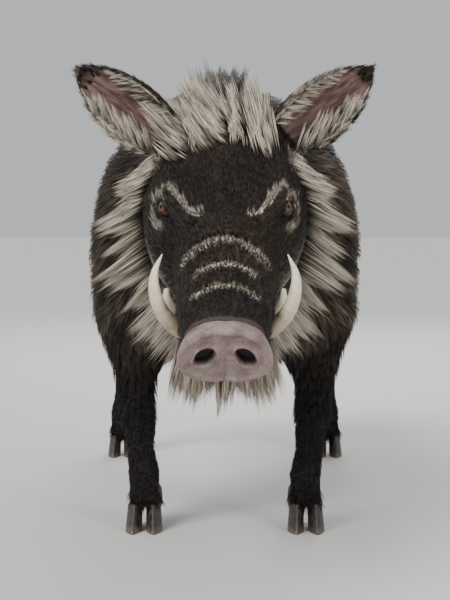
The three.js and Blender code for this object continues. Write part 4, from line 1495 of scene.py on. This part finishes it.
def hide_material(colours):
    """The skin under the hair: the coat's own markings with the painted light and shade of the snout
    folds, short hair as fine streaks, and bare skin.
    """
    material, node, shader = blank_material("hide")
    grain = stored(node, "grain", "Vector")
    streaks = noise(node, node.vector("MULTIPLY", grain, (75.0, 560.0, 560.0)), 1.0, 3.0, 0.6)
    veins = noise(node, node.vector("MULTIPLY", grain, (22.0, 150.0, 150.0)), 1.0, 3.0, 0.6)
    pores = noise(node, node.place(), 420.0, 2.0)
    shade = eased(node, streaks, 0.30, 0.70)
    facts = {name: stored(node, name.lower()) for name in ("Pale", "Dark")}
    facts.update({"Place": stored(node, "root", "Vector"), "Along": 0.40})
    facts.update({"Shade": shade, "Strand": shade})
    made = node("ShaderNodeGroup", {**facts, **BRISTLE_COLOURS}, node_tree=colours)
    bare = stored(node, "bare")
    flesh = mixed(node, pores, "bare_dark", "bare_worn")
    inner = mixed(node, eased(node, veins, 0.34, 0.66), "ear_dark", "ear_rose")
    flesh = mixed(node, stored(node, "cup"), flesh, inner)
    relief = node.math("MULTIPLY_ADD", streaks, 0.8, node.math("MULTIPLY", pores, 0.35))
    node.feed(shader, {
        "Base Color": mixed(node, bare, made.outputs["Color"], flesh),
        "Roughness": node.math("MULTIPLY_ADD", bare, -0.20, 0.80),
        "Specular IOR Level": 0.22,
        "Normal": bumped(node, 0.8, 0.0030, relief),
    })
    return material


def lid_material():
    """Dark bare skin round the eye, finely creased and moist at its edge."""
    material, node, shader = blank_material("lid_skin")
    creases = noise(node, node.place(), 260.0, 4.0, 0.65)
    node.feed(shader, {
        "Base Color": mixed(node, eased(node, creases, 0.35, 0.7), "lid_dark", "lid_worn"),
        "Roughness": eased(node, creases, 0.3, 0.7, 0.36, 0.62),
        "Normal": bumped(node, 0.5, 0.0012, creases),
    })
    return material


def lash_material():
    """Near-black hair, a little browner here and there."""
    material, node, shader = blank_material("lash")
    fleck = noise(node, node.place(), 700.0, 2.0)
    node.feed(shader, {
        "Base Color": mixed(node, fleck, "lash_black", "lash_brown"),
        "Roughness": eased(node, fleck, 0.3, 0.7, 0.35, 0.5),
    })
    return material


def eye_material():
    """A wet eye: a wide dark pupil in an amber iris, and a sliver of darkened white."""
    material, node, shader = blank_material("wet_eye")
    away = stored(node, "from_pupil")
    fibres = noise(node, node.place(), 900.0, 2.0)
    colour = mixed(node, fibres, "iris_dark", "iris_amber")
    colour = mixed(node, eased(node, away, 0.0030, 0.0040), "pupil", colour)
    colour = mixed(node, eased(node, away, 0.0070, 0.0078), colour, "iris_edge")
    colour = mixed(node, eased(node, away, 0.0086, 0.0100), colour, "eye_white")
    node.feed(shader, {
        "Base Color": colour,
        "Roughness": eased(node, fibres, 0.3, 0.7, 0.06, 0.12),
        "Specular IOR Level": 0.0,
        "Coat Weight": 1.0,
        "Coat IOR": 1.38,
        "Coat Roughness": 0.03,
    })
    return material


def snout_material():
    """Bare moist skin: mottled grey-rose, netted with fine cracks, with painted shade inside the
    nostrils.
    """
    material, node, shader = blank_material("snout_skin")
    place = node.place()
    bent = node.scaled(noise(node, place, 520.0, 2.0, 0.5, "Color"), 0.0022)
    net = node(
        "ShaderNodeTexVoronoi",
        {"Vector": node.vector("ADD", place, bent), "Scale": 430.0, "Randomness": 1.0},
        feature="DISTANCE_TO_EDGE",
    ).outputs["Distance"]
    cracks = eased(node, net, -0.04, 0.22)
    mottle = noise(node, place, 46.0, 4.0, 0.6)
    colour = mixed(node, eased(node, mottle, 0.35, 0.65), "snout_grey", "snout_rose")
    colour = mixed(node, cracks, "snout_crack", colour)
    relief = node.math("MULTIPLY_ADD", cracks, 0.7, node.math("MULTIPLY", mottle, 0.6))
    node.feed(shader, {
        # Near-black painted shade inside the nostrils, where they go deep
        "Base Color": mixed(node, stored(node, "deep"), colour, "nostril"),
        "Roughness": eased(node, mottle, 0.3, 0.7, 0.26, 0.48),
        "Specular IOR Level": 0.6,
        "Normal": bumped(node, 0.6, 0.0011, relief),
    })
    return material


def growth_rings():
    """Fine uneven rings round a tusk or a hoof, from how far along it each point is."""
    group = bpy.data.node_groups.new("growth_rings", "ShaderNodeTree")
    add_sockets(group, (
        ("Along", "INPUT", "Float"),
        ("Rings", "INPUT", "Float"),
        ("Height", "OUTPUT", "Float"),
    ))
    node = Nodes(group)
    given = node("NodeGroupInput").outputs
    line = node("ShaderNodeCombineXYZ", {"X": given["Along"]}).outputs[0]
    node("NodeGroupOutput", {"Height": noise(node, line, given["Rings"], 3.0)})
    return group


def ivory_material(rings_round):
    """Tusk: creamy at the tip, browner and finely ringed towards the gum, with lengthwise stains."""
    material, node, shader = blank_material("tusk_ivory")
    along = stored(node, "along")
    rings = node("ShaderNodeGroup", {"Along": along, "Rings": 46.0}, node_tree=rings_round)
    rings = rings.outputs["Height"]
    stains = noise(node, node.place(), 60.0, 5.0, 0.6)
    colour = mixed(node, eased(node, along, 0.05, 0.75), "ivory_root", "ivory_tip")
    near_gum = eased(node, along, 1.0, 0.1, 0.1, 0.75)
    dirt = node.math("MULTIPLY", eased(node, stains, 0.45, 0.75), near_gum)
    colour = mixed(node, dirt, colour, "ivory_dirt")
    node.feed(shader, {
        "Base Color": mixed(node, node.math("MULTIPLY", rings, 0.22), colour, "ivory_ring"),
        "Roughness": eased(node, stains, 0.3, 0.7, 0.24, 0.42),
        "Normal": bumped(node, 0.25, 0.0008, rings),
    })
    return material


def horn_material(rings_round):
    """Hoof: near-black horn with growth lines round it, dusty and worn towards the floor."""
    material, node, shader = blank_material("hoof_horn")
    level = stored(node, "level")
    lines = node("ShaderNodeGroup", {"Along": level, "Rings": 34.0}, node_tree=rings_round)
    lines = lines.outputs["Height"]
    streaks = noise(node, node.vector("MULTIPLY", node.place(), (260.0, 260.0, 26.0)), 1.0, 3.0)
    colour = mixed(node, eased(node, streaks, 0.35, 0.7), "horn_dark", "horn_brown")
    wear = node.math("MULTIPLY", eased(node, level, 0.35, 0.0), eased(node, streaks, 0.2, 0.7))
    relief = node.math("MULTIPLY_ADD", lines, 1.0, node.math("MULTIPLY", streaks, 0.3))
    node.feed(shader, {
        "Base Color": mixed(node, wear, colour, "horn_dust"),
        "Roughness": eased(node, streaks, 0.3, 0.7, 0.34, 0.6),
        "Normal": bumped(node, 0.5, 0.0014, relief),
    })
    return material


# ---- Long hair --------------------------------------------------------------------------------------
def toothed(place, step, low):
    """Lock lengths along a line: 1 in the middle of each lock and low between two, and the way in."""
    phase = place / step
    phase = phase + 0.20 * np.sin(phase * 2.4) + 0.12 * np.sin(phase * 4.1 + 1.0)
    middle = place + (np.floor(phase) + 0.5 - phase) * step
    inside = np.sin(math.pi * (phase - np.floor(phase))) ** 0.8
    uneven = 0.88 + 0.12 * np.sin(np.floor(phase) * 2.6)
    share = (low + (1 - low) * inside) * uneven
    return share, middle - place


LOCK_WIDTH = 0.0105  # a full lock, across


def crown_share(y):
    """1 over the crown of the head, 0 behind it."""
    return ramp(y, -0.34, -0.42)


# Along the crest: place on the body, length of the hair, and how steeply it stands in degrees.
CREST = (
    (-0.50, 0.056, 58),
    (-0.45, 0.108, 66),
    (-0.39, 0.122, 60),
    (-0.25, 0.108, 40),
    (-0.05, 0.098, 31),
    (0.15, 0.080, 27),
    (0.42, 0.046, 22),
)
CREST_SWEEP = 0.42  # how far the locks on the crown lean to the right


def crest(coat):
    """The bristle crest, in pointed locks from the forehead over neck and withers to the loin."""
    y = coat.points[:, 1]
    x = coat.points[:, 0]
    stops, lengths, angles = zip(*CREST)
    crown = crown_share(y)
    half = 0.028 + 0.062 * crown
    where = ramp(np.abs(x), half, half * 0.6) * ramp(coat.normals[:, 2], 0.30, 0.60)
    where = where * ramp(y, -0.500, -0.470) * ramp(y, 0.44, 0.37) * (1 - coat.ear)
    length = np.interp(y, stops, lengths)
    steep = np.radians(np.interp(y, stops, angles))
    share, to_middle = toothed(y + 0.53, 0.052, 0.80)
    share_over, over_middle = toothed(x + 0.092, 0.044, 0.45)
    length = length * share * (1 - crown * (1 - share_over))
    where = where * (1 - crown * ramp(share_over, 0.58, 0.38))
    sideways = (over_middle / length - CREST_SWEEP) * crown + x * 5.5
    way = BACKWARD * (np.cos(steep) + 0.55 * to_middle / length)[:, None]
    way = way - DOWNWARD * np.sin(steep)[:, None] + SIDEWAYS * sideways[:, None]
    return where * (0.5 + 0.5 * crown), unit(way), length


def ruff(coat, side):
    """The long pale hair of one cheek, in pointed locks from the ear round the jaw to the chin."""
    line = smooth_curve([on_head(a, u, side * x) for a, u, x in RUFF_LINE], 60)
    line = laid_on(line, coat.points)
    distance, t = nearest_on(line, coat.points)
    where = ramp(distance, 0.026, 0.012) * (1 - coat.ear) * (coat.across * side > 0)
    length = np.interp(t, np.linspace(0, 1, len(RUFF_LENGTHS)), RUFF_LENGTHS)
    reach = np.linalg.norm(np.diff(line, axis=0), axis=1).sum()
    share, to_middle = toothed(t * reach + 1e-6, reach / RUFF_LOCKS, 0.42)
    where = where * ramp(share, 0.30, 0.52)
    tangent = unit(np.gradient(line, axis=0))[np.round(t * 59).astype(int)]
    way = SIDEWAYS * (side * (0.95 - 0.20 * t))[:, None] - 0.30 * SNOUTWARD * (1 - 0.8 * t)[:, None]
    way = unit(way + DOWNWARD * (0.46 + 0.50 * t)[:, None])
    way = way + tangent * (to_middle / length + 0.10)[:, None]
    return where, unit(way), length * share


BEARD_BEND = 1.25  # how far the beard's root line turns to each side of the chin, in radians
BEARD_LOCKS = 7


def beard(coat):
    """The pale locks that hang from the chin."""
    line = np.array([
        on_head(0.300 + 0.074 * math.cos(a), -0.070 - 0.012 * math.cos(a), 0.047 * math.sin(a))
        for a in np.linspace(-BEARD_BEND, BEARD_BEND, 50)
    ])
    line = laid_on(line, coat.points)
    distance, t = nearest_on(line, coat.points)
    where = ramp(distance, 0.024, 0.012) * ramp(coat.up, -0.050, -0.060)
    bend = np.interp(t, (0, 1), (-BEARD_BEND, BEARD_BEND))
    share, to_middle = toothed(t * BEARD_LOCKS, 1.0, 0.72)
    length = (0.140 - 0.054 * np.cos(bend)) * share
    tangent = unit(np.gradient(line, axis=0))[np.round(t * 49).astype(int)]
    way = SIDEWAYS * (0.26 * np.sin(bend))[:, None] + 0.16 * BACKWARD + DOWNWARD
    way = unit(way) + tangent * (0.34 * to_middle)[:, None]
    return where, unit(way), length


def tail_tuft(coat):
    """The tuft on the end of the tail."""
    z = coat.points[:, 2]
    where = (coat.share["tail"] > 0.6) * ramp(z, 0.60, 0.50)
    way = unit(DOWNWARD + 0.02 * BACKWARD + 0.10 * coat.normals + 0.06 * SIDEWAYS)
    return where, way, np.interp(z, (0.48, 0.60), (0.128, 0.070))


def ear_fringe(coat):
    """The pale hair that reaches over each ear's cup from inside its rim, in pointed locks."""
    where = coat.ear_inside * hump(coat.ear_across - 0.58, 0.15)
    where = where * ramp(coat.ear_along, 0.02, 0.10) * ramp(coat.ear_along, 0.88, 0.62)
    share, to_middle = toothed(coat.ear_along * 6, 1.0, 0.5)
    lower_rim = ramp(-coat.ear_off * coat.side, -0.2, 0.2)
    length = (0.030 + 0.022 * ramp(coat.ear_along, 0.80, 0.10)) * share * (0.85 + 0.55 * lower_rim)
    ways = np.zeros_like(coat.points)
    for side in SIDES.values():
        out, opening, spread = ear_axes(side)
        mine = (coat.across * side > 0)[:, None]
        inward = -np.sign(coat.ear_off)[:, None] * spread
        ways = ways + mine * (out * (0.80 + 0.5 * to_middle)[:, None] + 0.42 * opening + 0.62 * inward)
    return where, unit(ways), length


def hoof_fringe(coat):
    """The hair just over each hoof, which falls over the top of the horn in pointed locks."""
    y = coat.points[:, 1]
    z = coat.points[:, 2]
    foot = (coat.share["foreleg_lower"] + coat.share["hindleg_lower"]) > 0.5
    where = foot * ramp(z, 0.043, 0.049) * ramp(z, 0.076, 0.064)
    middle = np.where(y < 0.2, SOLE_FRONT[1], SOLE_HIND[1])
    out = np.abs(coat.points[:, 0]) - np.where(y < 0.2, SOLE_FRONT[0], SOLE_HIND[0])
    share, _ = toothed(np.arctan2(y - middle, out) + 4.0, 0.45, 0.6)
    way = unit(DOWNWARD + 0.52 * coat.normals * np.array((1.0, 1.0, 0.0)))
    return where, way, 0.031 * share


# ---- Hooves -----------------------------------------------------------------------------------------
HOOF_HALF_LENGTH = 0.033
HOOF_HALF_WIDTH = 0.016
HOOF_HEIGHT = 0.050
HOOF_SPLAY = math.radians(8)
SOLE_FRONT = (0.1655, -0.150)  # from the midline, and along the body
SOLE_HIND = (0.2675, 0.554)
HEEL_FALL = 0.17  # how much lower the horn is at the heel than at the toe
DEWCLAW_RADIUS = 0.0112


def hoof(node_name, toe):
    """One main claw: flat sole, rounded point in front, sloping ringed wall, soft band at the top."""
    low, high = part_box(node_name)
    middle = (np.array(low) + np.array(high)) / 2
    around = 40
    levels = [(0.0, 0.90), (0.0, 0.955), (0.02, 0.99), (0.05, 1.0)]
    levels += [(t, 1.0) for t in np.linspace(0.10, 0.90, 15)]
    levels += [(0.94, 1.03), (0.97, 1.05), (1.0, 1.02), (1.02, 0.9)]
    points = []
    heights = []
    for t, swell in levels:
        ring = 1 + 0.010 * math.sin(t * 34) * (0.1 < t < 0.92)
        length = HOOF_HALF_LENGTH * (1 - 0.24 * t) * swell * ring
        width = HOOF_HALF_WIDTH * (1 - 0.12 * t) * swell * ring
        for k in range(around):
            turn = 2 * math.pi * k / around
            ahead = math.cos(turn)
            pinch = 1 - 0.50 * ahead**2 if ahead > 0 else 1.0
            across = math.sin(turn) * width * pinch - toe * 0.003 * ahead
            inner = -toe * math.sin(turn)
            across *= 1 - 0.10 * max(inner, 0)
            y = -ahead * length + 0.016 * t - 0.004
            x, y = (
                across * math.cos(toe * HOOF_SPLAY) - y * math.sin(toe * HOOF_SPLAY),
                across * math.sin(toe * HOOF_SPLAY) + y * math.cos(toe * HOOF_SPLAY),
            )
            z = HOOF_HEIGHT * t * (1 - HEEL_FALL * (0.5 - 0.5 * ahead))
            points.append((middle[0] + x, y, z))
            heights.append(t)
    points = np.array(points)
    mean_y = (points[:, 1].min() + points[:, 1].max()) / 2
    points[:, 1] += middle[1] - mean_y
    return points, tube_faces(len(levels), around), heights


def dewclaw(node_name, toe):
    """One small hind claw: a blunt bent cone that points down and back, clear of the floor."""
    low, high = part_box(node_name)
    low = np.array(low)
    high = np.array(high)
    middle = (low + high) / 2
    top = np.array((middle[0] - toe * 0.003, low[1] + 0.007, high[2] - 0.003))
    bottom = np.array((middle[0] + toe * 0.006, high[1] - 0.007, low[2] + 0.004))
    bow = (top + bottom) / 2 + np.array((0, 0.003, 0.003))
    line = smooth_curve([top, bow, bottom], 18)
    ways = unit(np.gradient(line, axis=0))
    around = 24
    points = []
    heights = []
    for i, (centre, way) in enumerate(zip(line, ways)):
        t = i / (len(line) - 1)
        across = unit(np.cross(way, BACKWARD))
        over = np.cross(across, way)
        size = DEWCLAW_RADIUS * (1 - 0.55 * t**2.2) * (1 - 0.35 * ramp(t, 0.9, 1.0))
        size *= 1 + 0.012 * math.sin(t * 40)
        size *= 0.62 + 0.38 * ramp(t, 0.0, 0.30)
        for k in range(around):
            turn = 2 * math.pi * k / around
            points.append(centre + size * (across * math.cos(turn) + 0.8 * over * math.sin(turn)))
            heights.append(1 - t)
    return np.array(points), tube_faces(len(line), around), heights


def claws_of(leg, hand):
    """The four claws of one foot as one mesh, and the solids that they stand for."""
    side = SIDES[hand]
    points = []
    faces = []
    heights = []
    nodes = []
    for where, toe in (("outer", side), ("inner", -side)):
        for kind, maker in (("hoof", hoof), ("dewclaw", dewclaw)):
            nodes.append(f"{leg}_{kind}_{where}_{hand}")
            more, sides, levels = maker(nodes[-1], toe)
            faces += [tuple(len(points) + i for i in face) for face in sides]
            points += list(more)
            heights += list(levels)
    mesh = mesh_from("claws", points, faces)
    found = points_of(mesh)
    given = np.array(points)
    nearest = [int(np.argmin(((given - p) ** 2).sum(axis=1))) for p in found]
    give(mesh, "level", np.array(heights)[nearest])
    return mesh, nodes


# ---- Putting the boar together ----------------------------------------------------------------------
colours = coat_colours()
bristle = bristle_material(colours)
unwrapped(skin, "OFBake")
coat = Coat(skin.data)
store_coat(coat)
skin.data.materials.append(hide_material(colours))
disc.data.materials.append(snout_material())

rings_round = growth_rings()
ivory = ivory_material(rings_round)
for name, material in {
    "eyeball": eye_material(),
    "eyelids": lid_material(),
    "eyelashes": lash_material(),
    "tooth_lower": ivory,
    "tooth_upper": ivory,
}.items():
    for hand in SIDES:
        bpy.data.objects[f"{name}_{hand}"].data.materials.append(material)

horn = horn_material(rings_round)
for leg in ("foreleg", "hindleg"):
    for hand in SIDES:
        mesh, nodes = claws_of(leg, hand)
        claws = shown(mesh, f"claws_{leg}_{hand}")
        claws.data.materials.append(horn)
        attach(claws, "root")
        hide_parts(*nodes)

growth = coat_tree()
body_tufts = tuft_set(
    "body_tufts", 8, (2, 2) + 8 * (1,), spread=1.15, width=0.155, droop=0.22, seed=11
)
needle_tufts = tuft_set("needle_tufts", 8, 8 * (1,), spread=1.1, width=0.235, droop=0.0, seed=12)
face_tufts = tuft_set("face_tufts", 8, 5 * (1,), spread=0.85, width=0.235, droop=0.0, seed=14)
long_tufts = tuft_set("long_tufts", 6, 5 * (3,), spread=1.0, width=0.17, droop=0.20, seed=13)

y = coat.points[:, 1]
x = coat.points[:, 0]
body = coat.share["trunk"] + coat.share["neck"]
face = np.clip(coat.share["head"] + coat.share["lower_jaw"], 0, 1)
front = ramp(y, 0.02, -0.06)
rear = ramp(y, 0.34, 0.42)
left = ramp(x, -0.01, 0.01)
middle = (1 - front) * (1 - rear)
forelegs = coat.share["foreleg_upper"] + 1.9 * coat.share["foreleg_lower"]
hindlegs = coat.share["hindleg_upper"] + 1.9 * coat.share["hindleg_lower"]
snout_part = ramp(coat.along, 0.15, 0.22)

COAT_PIECES = (
    # name, tufts, how many, where
    ("coat_shoulders_left", body_tufts, 2400, body * front * left),
    ("coat_shoulders_right", body_tufts, 2400, body * front * (1 - left)),
    ("coat_flank_left", body_tufts, 2300, body * middle * left),
    ("coat_flank_right", body_tufts, 2300, body * middle * (1 - left)),
    ("coat_rump", body_tufts, 2400, (body + 2 * coat.share["tail"]) * rear),
    ("coat_forelegs", needle_tufts, 2900, forelegs),
    ("coat_hindlegs", needle_tufts, 3350, hindlegs),
    ("coat_head", face_tufts, 7100, face * (1 - snout_part) * (1 - coat.ear)),
    ("coat_snout", face_tufts, 7300, face * snout_part * (1 - 0.85 * coat.crease)),
)
for number, (name, tufts, count, where) in enumerate(COAT_PIECES):
    piece = grown(name, coat, growth, tufts, count, where, number + 1, bristle)

ears = grown(
    "coat_ears", coat, growth, needle_tufts, 2300, coat.ear, 21, bristle, spread=0.30
)


def long_hair(name, growing, tufts, count, seed, spread, width, **tones):
    """A piece of hair that has a length and a way of its own. Width is a share of a full lock's."""
    where, way, length = growing
    ones = np.ones(len(length))
    return grown(
        name,
        coat,
        growth,
        tufts,
        count,
        where,
        seed,
        bristle,
        close=False,
        spread=spread,
        way=way,
        hair_length=length,
        hair_width=LOCK_WIDTH * ones * width,
        **{tone: ones * value for tone, value in tones.items()},
    )


crown = crown_share(y)
hair = long_hair(
    "crest",
    crest(coat),
    long_tufts,
    count=1040,
    seed=22,
    spread=0.16,
    width=1.0,
    pale=0.10 + 0.38 * crown,
    dark=0.80 - 0.62 * crown,
)
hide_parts("mane_crown", "mane_neck", "mane_back")

facts = {"count": 790, "seed": 23, "spread": 0.10, "width": 0.92, "pale": 0.80, "dark": 0.0}
for hand, side in SIDES.items():
    hair = long_hair(f"cheek_ruff_{hand}", ruff(coat, side), long_tufts, **facts)
    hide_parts(f"ruff_{hand}")

facts = {"count": 640, "seed": 24, "spread": 0.10, "width": 0.85, "pale": 0.92, "dark": 0.0}
hair = long_hair("chin_beard", beard(coat), long_tufts, **facts)
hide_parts("beard")

facts = {"count": 560, "seed": 28, "spread": 0.12, "width": 0.42, "dark": 1.0}
hair = long_hair("hoof_fringe", hoof_fringe(coat), needle_tufts, **facts)

facts = {"count": 330, "seed": 27, "spread": 0.14, "width": 0.55, "pale": 0.80, "dark": 0.0}
hair = long_hair("ear_fringe", ear_fringe(coat), long_tufts, **facts)

facts = {"count": 170, "seed": 26, "spread": 0.10, "width": 0.70, "dark": 1.0}
hair = long_hair("tail_hair", tail_tuft(coat), long_tufts, **facts)
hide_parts("tail_tuft")


# ---- Floor, light and camera ------------------------------------------------------------------------
FLOOR_REACH = 70.0
FLOOR_TINT = (0.62, 0.61, 0.59, 1)
LIGHTS_AIM = Vector((0.0, -0.1, 0.5))
SENSOR = 36  # millimetres, as the lens
LENS = 69.8
CAMERA_PLACE = (0, -2.25, 0.55)
CAMERA_DIP = 3.5  # degrees below level
SKY_TINT = (0.80, 0.81, 0.83, 1)
SKY_STRENGTH = 0.74


def floor():
    """A wide, plain, pale floor."""
    mesh = bpy.data.meshes.new("floor")
    signs = ((-1, -1), (1, -1), (1, 1), (-1, 1))
    corners = [(x * FLOOR_REACH, y * FLOOR_REACH, 0) for x, y in signs]
    mesh.from_pydata(corners, [], [(0, 1, 2, 3)])
    piece = shown(mesh, "floor")
    material, node, shader = blank_material("floor_paint")
    node.feed(shader, {"Base Color": FLOOR_TINT, "Roughness": 0.7})
    piece.data.materials.append(material)


def lamp(name, data, place, aim):
    """Hangs a light at its place, turned to what it aims at."""
    light = shown(data, name)
    light.location = place
    light.rotation_mode = "QUATERNION"
    light.rotation_quaternion = (aim - Vector(place)).to_track_quat("-Z", "Y")


def soft_light(name, place, size, power):
    """A round, soft light."""
    data = bpy.data.lights.new(name, "AREA")
    data.shape = "DISK"
    data.size = size
    data.energy = power
    lamp(name, data, place, LIGHTS_AIM)


def sun(name, place, strength, angle):
    """A wide, even light from the direction of the place."""
    data = bpy.data.lights.new(name, "SUN")
    data.energy = strength
    data.angle = math.radians(angle)
    lamp(name, data, place, Vector((0.0, 0.0, 0.0)))


def camera():
    """The camera before the boar's face, a little above it."""
    data = bpy.data.cameras.new("camera")
    data.sensor_width = SENSOR
    data.lens = LENS
    eye = shown(data, "camera")
    eye.location = CAMERA_PLACE
    eye.rotation_euler = (math.radians(90 - CAMERA_DIP), 0, 0)
    bpy.context.scene.camera = eye


def sky():
    """Even light from all round."""
    world = bpy.data.worlds.new("studio")
    world.use_nodes = True
    background = world.node_tree.nodes["Background"]
    Nodes(world.node_tree).feed(background, {"Color": SKY_TINT, "Strength": SKY_STRENGTH})
    bpy.context.scene.world = world


floor()
sun("key", (-2.4, -2.8, 3.2), strength=2.9, angle=30)
soft_light("fill", (2.6, -3.0, 2.0), size=1.4, power=60)
soft_light("rim", (0.6, 3.4, 3.2), size=2.4, power=90)
sky()
camera()
